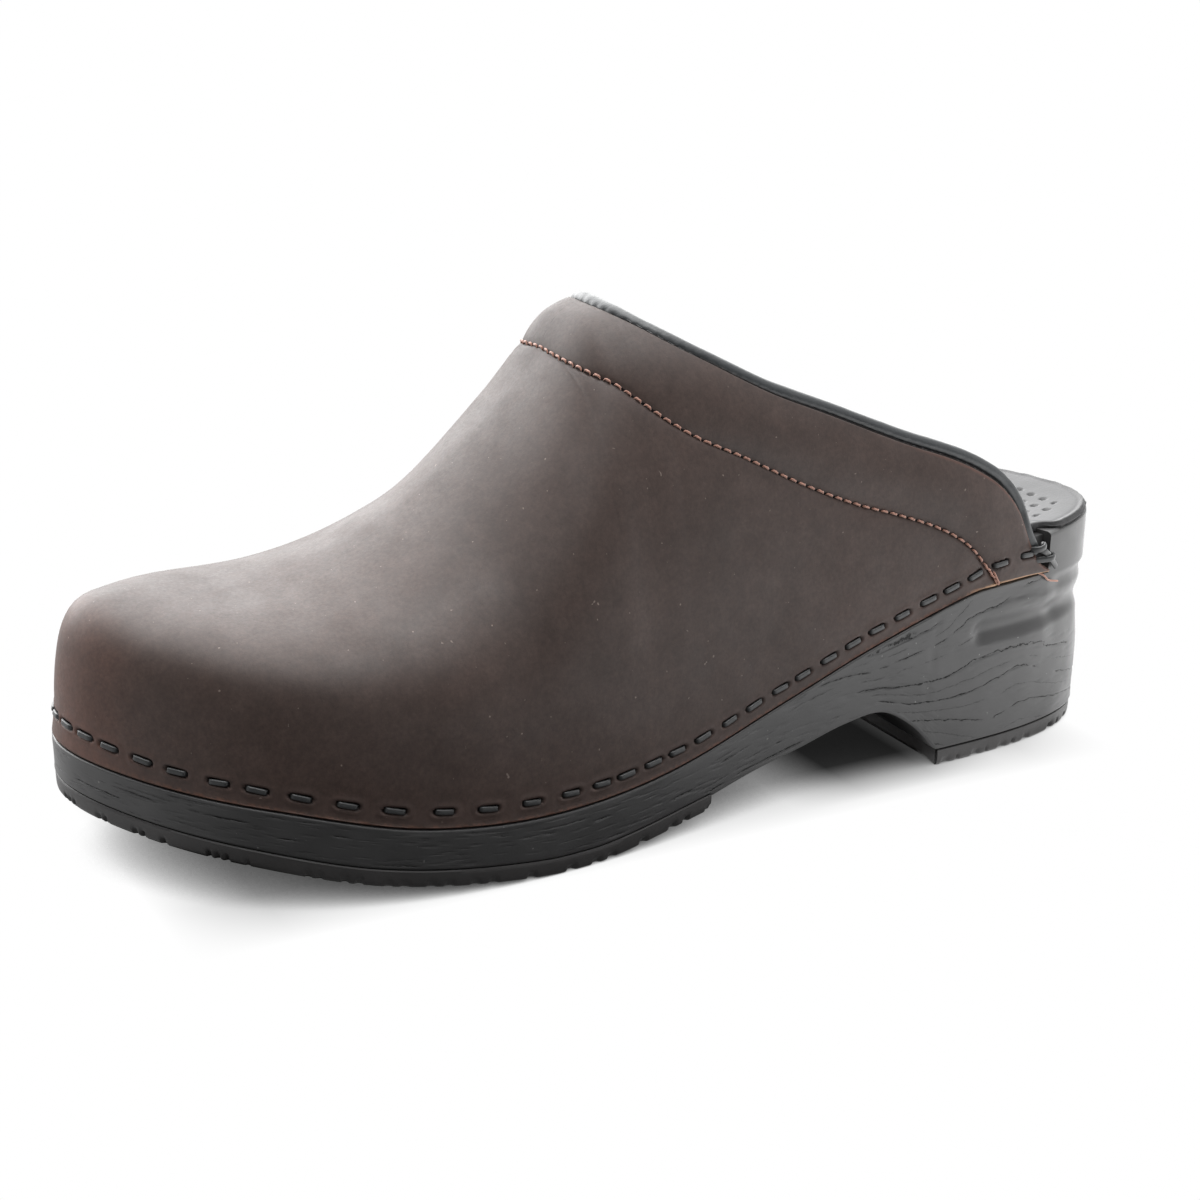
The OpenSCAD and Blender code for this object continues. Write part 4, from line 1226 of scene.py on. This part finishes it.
def binding_seam(m):
    shape = Shape()
    lengths = path_lengths(edge_make(0.0))
    count = int((lengths[-1] - 14) / SEAM_PITCH)
    for k in range(count):
        a = 7 + k * SEAM_PITCH
        thread_stitch(shape, edge_make, lengths, a, a + 2.1, 0.12, 0.20, -0.55)
    piece = shape.build("binding_seam", m["black_thread"], 60, 0.002)
    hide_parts("binding_stitching")


# ---------------------------------------------------------------- binding
def binding_path(u):
    edge = collar_points(1.0, u)
    below = collar_points(0.96, u)
    up = edge - below
    up /= np.linalg.norm(up, axis=1, keepdims=True)
    rise = (edge[:, 2] - curve(EDGE, edge[:, 1]) - FLANGE_H - 1) / 16
    middle = (LINING_OUT + LINING_T) / 2
    deep = 0.1 + (middle - 0.1) * np.clip(rise, 0, 1)
    rise = BINDING_R + 0.1 - 1.3 * np.exp(-((u / 0.3) ** 2))
    return collar_points(1.0, u, deep) + rise[:, None] * up, up


def topline_binding(m):
    u = np.linspace(-BINDING_END, BINDING_END, 620)
    path, up = binding_path(u)
    side = collar_points(1.0, u, -1.0) - collar_points(1.0, u, 0.0)
    s = path_lengths(path)
    n = 20
    run = np.gradient(path, axis=0)
    run /= np.linalg.norm(run, axis=1, keepdims=True)
    a = side - np.sum(side * run, 1, keepdims=True) * run
    a /= np.linalg.norm(a, axis=1, keepdims=True)
    b = np.cross(run, a)
    flip = np.sign(np.sum(b * up, 1, keepdims=True))
    b = b * flip
    ring = np.linspace(0, 2 * np.pi, n + 1)
    radius = np.repeat(BINDING_R - 0.35 * smooth(0.4, 0.9, np.abs(u))[:, None], n + 1, axis=1)
    pucker = 0.5 + 0.5 * np.cos(2 * np.pi * s / SEAM_PITCH)[:, None]
    lower = np.clip(-np.sin(ring), 0, 1)[None] ** 2
    radius = radius * (1 - 0.075 * pucker * lower - 0.03 * lower)
    wobble = wave_noise(path, 9, 71, 2)[:, None] * 0.07
    radius = radius + wobble
    p = path[:, None] + a[:, None] * (radius * np.cos(ring))[..., None] + b[:, None] * (radius * np.sin(ring))[..., None]
    shape = Shape()
    shape.grid(p)
    for end in (0, -1):
        shape.grid(np.stack([p[end], np.broadcast_to(path[end], p[end].shape)]))
    piece = shape.build("binding", m["binding"], 60, 0.002)
    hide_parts("topline_binding")


# ---------------------------------------------------------------- lining
def lining_rear():
    """Where the top line comes down to the foot of the lining."""
    y = np.linspace(100, REAR_Y, 401)
    gap = top_at(y, -1) - curve(EDGE, y) - FLANGE_H - 0.4
    return float(y[np.argmax(gap < 0.6)])


def vamp_lining(m):
    shape = Shape()
    throat_y = throat(1.0)
    front = even_columns(TIP_Y, throat_y, 1.6)
    back = even_columns(throat_y, lining_rear(), 1.6)
    y = np.concatenate([front, back[1:]])
    t = both_sides(y)
    yy = outline(t)[:, 1]
    low = phi_at(yy, curve(EDGE, yy) + FLANGE_H + 0.4)
    side = np.where(t < TIP_T, 1, -1)
    high = np.where(yy > throat_y + 1e-9, phi_at(yy, top_at(yy, side)), np.pi / 2)
    phi = even_rows(t, low, high, np.linspace(0, 1, 40))
    tt = np.repeat(t[:, None], phi.shape[1], 1)
    outer = skin(tt, phi, LINING_OUT, False)
    inner = skin(tt, phi, LINING_OUT + LINING_T, False)
    wave = 0.25 * wave_noise(inner, 24, 81, 2)
    inner = skin(tt, phi, LINING_OUT + LINING_T + wave, False)
    shape.grid(outer)
    shape.grid(inner)
    shape.grid(np.stack([outer[:, 0], inner[:, 0]], 1))
    shape.grid(np.stack([outer[:, -1], inner[:, -1]], 1))
    for end in (0, -1):
        shape.grid(np.stack([outer[end], inner[end]], 0))
    piece = shape.build("lining", m["lining"], 60, 0.03)
    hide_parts("vamp_lining")


# ---------------------------------------------------------------- sock
HOLE_PITCH = 5.3
HOLE_R = 1.05
HOLE_EDGE = 8.0      # no holes this close to the sock's edge


def hole_depth(xy, reach):
    """Punched holes of the sock, in staggered rows across the heel and waist."""
    x, y = xy[..., 0], xy[..., 1]
    row = np.round(y / HOLE_PITCH)
    shift = np.where(row.astype(int) % 2 == 0, 0.0, HOLE_PITCH / 2)
    col = np.round((x - 1 - shift) / HOLE_PITCH)
    dx = x - 1 - shift - col * HOLE_PITCH
    dy = y - row * HOLE_PITCH
    inside = (np.abs(col * HOLE_PITCH + shift) < 24) & (row * HOLE_PITCH < 140) & (row * HOLE_PITCH > -60)
    inside = inside & (reach > HOLE_EDGE)
    return np.where(inside, 1 - smooth(HOLE_R * 0.6, HOLE_R * 1.15, np.hypot(dx, dy)), 0.0)


def sock_top(y):
    rim = smooth(113, BLOCK_Y, y)
    return curve(SOCK, y) * (1 - rim) + rim_at(y) * rim


def sock_liner(m):
    shape = Shape("dark")
    t = loop_columns(0.8)
    y = outline(t)[:, 1]
    inset = CAVITY_IN + 0.3 + (0.6 - CAVITY_IN - 0.3) * smooth(BLOCK_Y - 1.0, BLOCK_Y + 5.8, y)
    on_rim = smooth(BLOCK_Y - 0.5, BLOCK_Y + 2.0, y)
    s = arc_of(t)
    wobble = 0.28 * wave_noise(np.stack([s, s * 0], -1), 5, 91, 3) * on_rim
    out = outward(t)
    base = outline(t) - (inset - wobble)[:, None] * out
    rows = np.concatenate([np.linspace(1, 0.93, 9), np.linspace(0.92, 0, 76)])
    foot = spine_of(y)
    xy = foot[:, None] + (base - foot)[:, None] * rows[None, :, None]
    yy = xy[..., 1]
    z = sock_top(yy)
    reach = np.linalg.norm(xy - base[:, None], axis=-1)
    dish = 1.1 * smooth(1, 22, reach) * smooth(60, 112, yy)
    holes = hole_depth(xy, reach)
    edge_round = 0.7 - np.sqrt(np.maximum(0.49 - np.maximum(0.7 - reach, 0) ** 2, 0))
    bead = 0.22 * np.exp(-(((reach - 0.8) / 0.5) ** 2)) * on_rim[:, None]
    z = z - dish - 0.75 * holes - edge_round + bead - 0.12 * np.exp(-(((reach - 1.9) / 0.6) ** 2)) * on_rim[:, None]
    top = lift(xy, z)
    # Painted shade in the punched holes; the strip along the rim's cut edge is the edge's own dark finish.
    dark = np.maximum(holes, (1 - smooth(0.3, 0.9, reach)) * 0.7 * on_rim[:, None])
    shape.grid(top, around=True, dark=dark)
    under = lift(base, sock_top(y) - SOCK_T)
    hang = lift(base + 0.35 * out * on_rim[:, None], sock_top(y) - 1.0)
    # The rim's edge face: its own dark edge finish, with painted shade added towards its underside.
    shape.grid(np.stack([top[:, 0], hang, under], 1), around=True, dark=on_rim[:, None] * [[0.3, 0.5, 1.0]])
    shape.grid(spread_to_spine(base, y, lambda v: sock_top(v) - SOCK_T - 0.9, 5), around=True)
    shape.grid(np.stack([under, lift(base, sock_top(y) - SOCK_T - 0.9)], 1), around=True)
    piece = shape.build("sock", m["sock"], 60, 0.01)
    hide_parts("sock_liner")


# ---------------------------------------------------------------- knots and loose threads
def bezier_path(points, n=60):
    """Smooth path through the points."""
    p = np.asarray(points, float)
    s = path_lengths(p)
    at = np.linspace(0, s[-1], n)
    return np.stack([curve((s, p[:, k]), at) for k in range(3)], -1)


def strand(shape, points, radius, n=60, flat=1.0):
    path = bezier_path(points, n)
    run = np.gradient(path, axis=0)
    side = np.cross(run, np.array([0.3, 0.2, 1.0]))
    radii = np.full((n, 2), radius)
    radii[:, 1] *= flat
    ends = 1 - 0.25 * np.exp(-((np.linspace(-1, 1, n) ** 2 - 1) / 0.03) ** 2)
    shape.tube(path, side, radii * ends[:, None], 14)


def by_wall(side, y, z, off):
    """A point at y and the height z, off millimetres outside the sole's outline."""
    t = side_t(side, y)
    return lift(outline(t) + off * outward(t), z)


def strap(shape, side, points, wide=0.88, thick=0.48, n=48):
    """A length of the cord lying flat against the side of the clog, through points (y, z, off)."""
    path = bezier_path([by_wall(side, *p) for p in points], n)
    run = np.gradient(path, axis=0)
    out = lift(outward(side_t(side, path[:, 1])), 0.0)
    across = np.cross(run, out)
    v = np.linspace(-1, 1, n)
    size = 1 - 0.12 * np.abs(v) ** 8
    shape.tube(path, across, np.stack([wide * size, thick * size], 1), 16)


# The cord's end: one turn over the binding's end, a loose end that hangs back from it, and a last
# stitch across that. Each point is a place in y, a height, and a distance outside the outline.
KNOT_TURN = ((109.3, 57.6, -1.2), (109.9, 57.7, 0.6), (111.1, 57.9, 2.3), (112.8, 58.2, 2.5), (114.0, 58.4, 1.7),
             (114.3, 58.3, 0.4))
KNOT_END = ((112.0, 57.6, 1.2), (113.1, 57.1, 2.3), (115.2, 55.7, 2.1), (117.6, 53.5, 1.5), (119.2, 52.0, 1.1),
            (120.6, 50.6, 0.9))
KNOT_STITCH = ((110.6, 54.1, -1.2), (111.5, 54.2, 0.5), (113.6, 54.4, 1.9), (116.0, 54.6, 2.9), (117.6, 54.7, 2.0),
               (118.1, 54.8, 0.2))


def cord_knot(m, side, name, node):
    """The end of the lacing at the rear of the upper."""
    shape = Shape()
    for points in (KNOT_TURN, KNOT_END, KNOT_STITCH):
        strap(shape, side, points)
    piece = shape.build(name, m["cord"], 50, 0.002)
    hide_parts(node)


SEAM_END = ((96.9, 54.2, -0.9), (97.4, 52.9, 0.0), (98.0, 51.6, 0.3), (98.8, 50.2, 0.4))
CORNER_END = ((114.4, 49.9, -0.2), (116.0, 49.0, 0.5), (117.9, 47.3, 0.6), (120.0, 46.6, 0.7), (122.0, 46.1, 0.9))


def thread_tails(m):
    """Loose ends of the seam's thread, below the seam and at the rear corner of the leather."""
    shape = Shape()
    for side in (1, -1):
        for points in (SEAM_END, CORNER_END):
            strand(shape, [by_wall(side, *p) for p in points], 0.28, 24)
    piece = shape.build("seam_tails", m["thread"], 60, 0.002)
    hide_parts("seam_thread_tails")


# ---------------------------------------------------------------- camera, light, floor
def camera_to_world():
    """The photograph's viewpoint: azimuth and elevation of the view, and a slight roll."""
    azimuth, elevation, roll = (math.radians(v) for v in (61.0, 19.59, 0.86))
    back = Vector((math.sin(azimuth) * math.cos(elevation), -math.cos(azimuth) * math.cos(elevation), math.sin(elevation)))
    right = (-back).cross(Vector((0, 0, 1))).normalized()
    up = right.cross(-back)
    x = right * math.cos(roll) + up * math.sin(roll)
    y = up * math.cos(roll) - right * math.sin(roll)
    turn = Matrix((x, y, back)).transposed().to_4x4()
    target = Vector((-8.14, 2.15, 45.71)) * MM
    return Matrix.Translation(target + back * 615.2 * MM) @ turn


def make_camera():
    data = bpy.data.cameras.new("camera")
    data.lens = 69.04
    data.sensor_width = 36
    data.clip_start = 0.01
    camera = bpy.data.objects.new("camera", data)
    bpy.context.scene.collection.objects.link(camera)
    camera.matrix_world = camera_to_world()
    bpy.context.scene.camera = camera


# Where the studio's soft light comes from: turned from the camera's side round to the right,
# height above the ground in degrees, and strength.
SOFT_LIGHTS = ((0, 90, 9.6), (180, 15, 4.4), (180, 50, 4.2), (-130, 25, 11.8), (20, 50, 0.5), (100, 20, 1.9))


def aim(turn, height):
    """Direction at a turn from the camera's side, counted to the right, and a height, in degrees."""
    eye = camera_to_world().translation
    turn = math.radians(turn) + math.atan2(eye.y, eye.x)
    flat = math.cos(math.radians(height))
    return Vector((flat * math.cos(turn), flat * math.sin(turn), math.sin(math.radians(height))))


def make_studio():
    """A white backdrop, brightest overhead and behind the clog and dim on the camera's side."""
    world = bpy.data.worlds.new("studio")
    bpy.context.scene.world = world
    world.use_nodes = True
    n = Nodes(world.node_tree)
    way = n.add("ShaderNodeTexCoord").outputs["Generated"]
    light = 0.13
    for turn, height, strength in SOFT_LIGHTS:
        lobe = n.math("POWER", n.math("MAXIMUM", n.dot(way, aim(turn, height)), 0.0), 8.0)
        light = n.math("ADD", light, n.math("MULTIPLY", lobe, strength))
    seen = n.add("ShaderNodeLightPath").outputs["Is Camera Ray"]
    back = n.add("ShaderNodeBackground")
    n.link(n.pick(seen, light, 1.0), back.inputs["Strength"])
    n.link(back.outputs[0], n.add("ShaderNodeOutputWorld").inputs[0])
    bpy.context.scene.view_settings.view_transform = "Standard"


def floor_box(n, half_x, middle_y, half_y, soft):
    """1 in a box on the floor and 0 outside it, with soft edges."""
    inside = 1.0
    spot = n.add("ShaderNodeNewGeometry").outputs["Position"]
    for half, middle, way in ((half_x, 0.0, (1, 0, 0)), (half_y, middle_y, (0, 1, 0))):
        off = n.math("ABSOLUTE", n.math("SUBTRACT", n.dot(spot, way), middle))
        inside = n.math("MULTIPLY", inside, n.remap(off, half, half + soft, 1.0, 0.0))
    return inside


def make_floor():
    """A pale floor that glows. Seen by the camera it is white with a painted contact shadow where the clog stands on
    it, darkest under the waist; the light it sends onto the clog is painted too, brighter towards the heel and shaded
    where the clog stands on it.
    """
    n = Finish("pale_floor")
    along = n.dot(n.add("ShaderNodeNewGeometry").outputs["Position"], aim(90, 0))
    # Painted light: the floor's glow that lights the clog, brighter towards the heel, with a painted shadow under the
    # clog.
    glow = n.math("ADD", n.remap(along, -0.18, -0.09, 1.0, 0.20), n.remap(along, 0.03, 0.20, 0.0, 2.5))
    glow = n.math("MULTIPLY", glow, n.remap(floor_box(n, 0.028, 0.0, 0.125, 0.014), 0, 1, 1, 0))
    # Painted contact shadow seen by the camera, from occlusion near the clog, deeper under the sole and deepest under
    # the waist.
    open_sky = n.add("ShaderNodeAmbientOcclusion", samples=16)
    open_sky.inputs["Distance"].default_value = 0.034
    shade = n.math("POWER", n.remap(open_sky.outputs["AO"], 0.0, 0.49), 1.1)
    shade = n.math("MULTIPLY", shade, n.remap(floor_box(n, 0.028, 0.0, 0.110, 0.025), 0, 1, 1, 0.52))
    shade = n.math("MULTIPLY", shade, n.remap(floor_box(n, 0.026, 0.066, 0.012, 0.022), 0, 1, 1, 0.08))
    seen = n.add("ShaderNodeLightPath").outputs["Is Camera Ray"]
    n.set("Base Color", (0.0, 0.0, 0.0, 1))
    n.set("Specular IOR Level", 0.0)
    n.set("Emission Color", (1.0, 1.0, 1.0, 1))
    n.set("Emission Strength", n.pick(seen, glow, shade))
    size = 6.0
    mesh = bpy.data.meshes.new("floor")
    mesh.from_pydata([(-size, -size, 0), (size, -size, 0), (size, size, 0), (-size, size, 0)], [], [(0, 1, 2, 3)])
    mesh.materials.append(n.material)
    floor = bpy.data.objects.new("floor", mesh)
    bpy.context.scene.collection.objects.link(floor)


# ---------------------------------------------------------------- everything
def dress_hidden(m):
    finishes = {
        "sole_shell": "sole", "forefoot_tread": "tread", "heel_tread": "tread", "shank": "steel",
        "insole_board": "board", "footbed_foam": "foam", "heel_pad": "pad", "arch_pad": "cork",
        "sock_liner": "sock", "leather_upper": "leather", "vamp_lining": "lining", "toe_puff": "puff",
        "collar_padding": "padding", "topline_tape": "tape", "topline_binding": "binding",
        "binding_stitching": "black_thread", "collar_stitching": "thread", "seam_thread_tails": "thread",
        "lacing_cord": "cord", "cord_knot_outer": "cord", "cord_knot_inner": "cord",
    }
    for node, finish in finishes.items():
        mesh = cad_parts[node].data
        mesh.materials.clear()
        mesh.materials.append(m[finish])


def main():
    m = make_materials()
    dress_hidden(m)
    leather_upper(m)
    sole_shell(m)
    forefoot_tread(m)
    heel_tread(m)
    lacing_cord(m)
    collar_seam(m)
    binding_seam(m)
    topline_binding(m)
    vamp_lining(m)
    sock_liner(m)
    cord_knot(m, 1, "knot_outer", "cord_knot_outer")
    cord_knot(m, -1, "knot_inner", "cord_knot_inner")
    thread_tails(m)
    make_floor()
    make_studio()
    make_camera()


main()
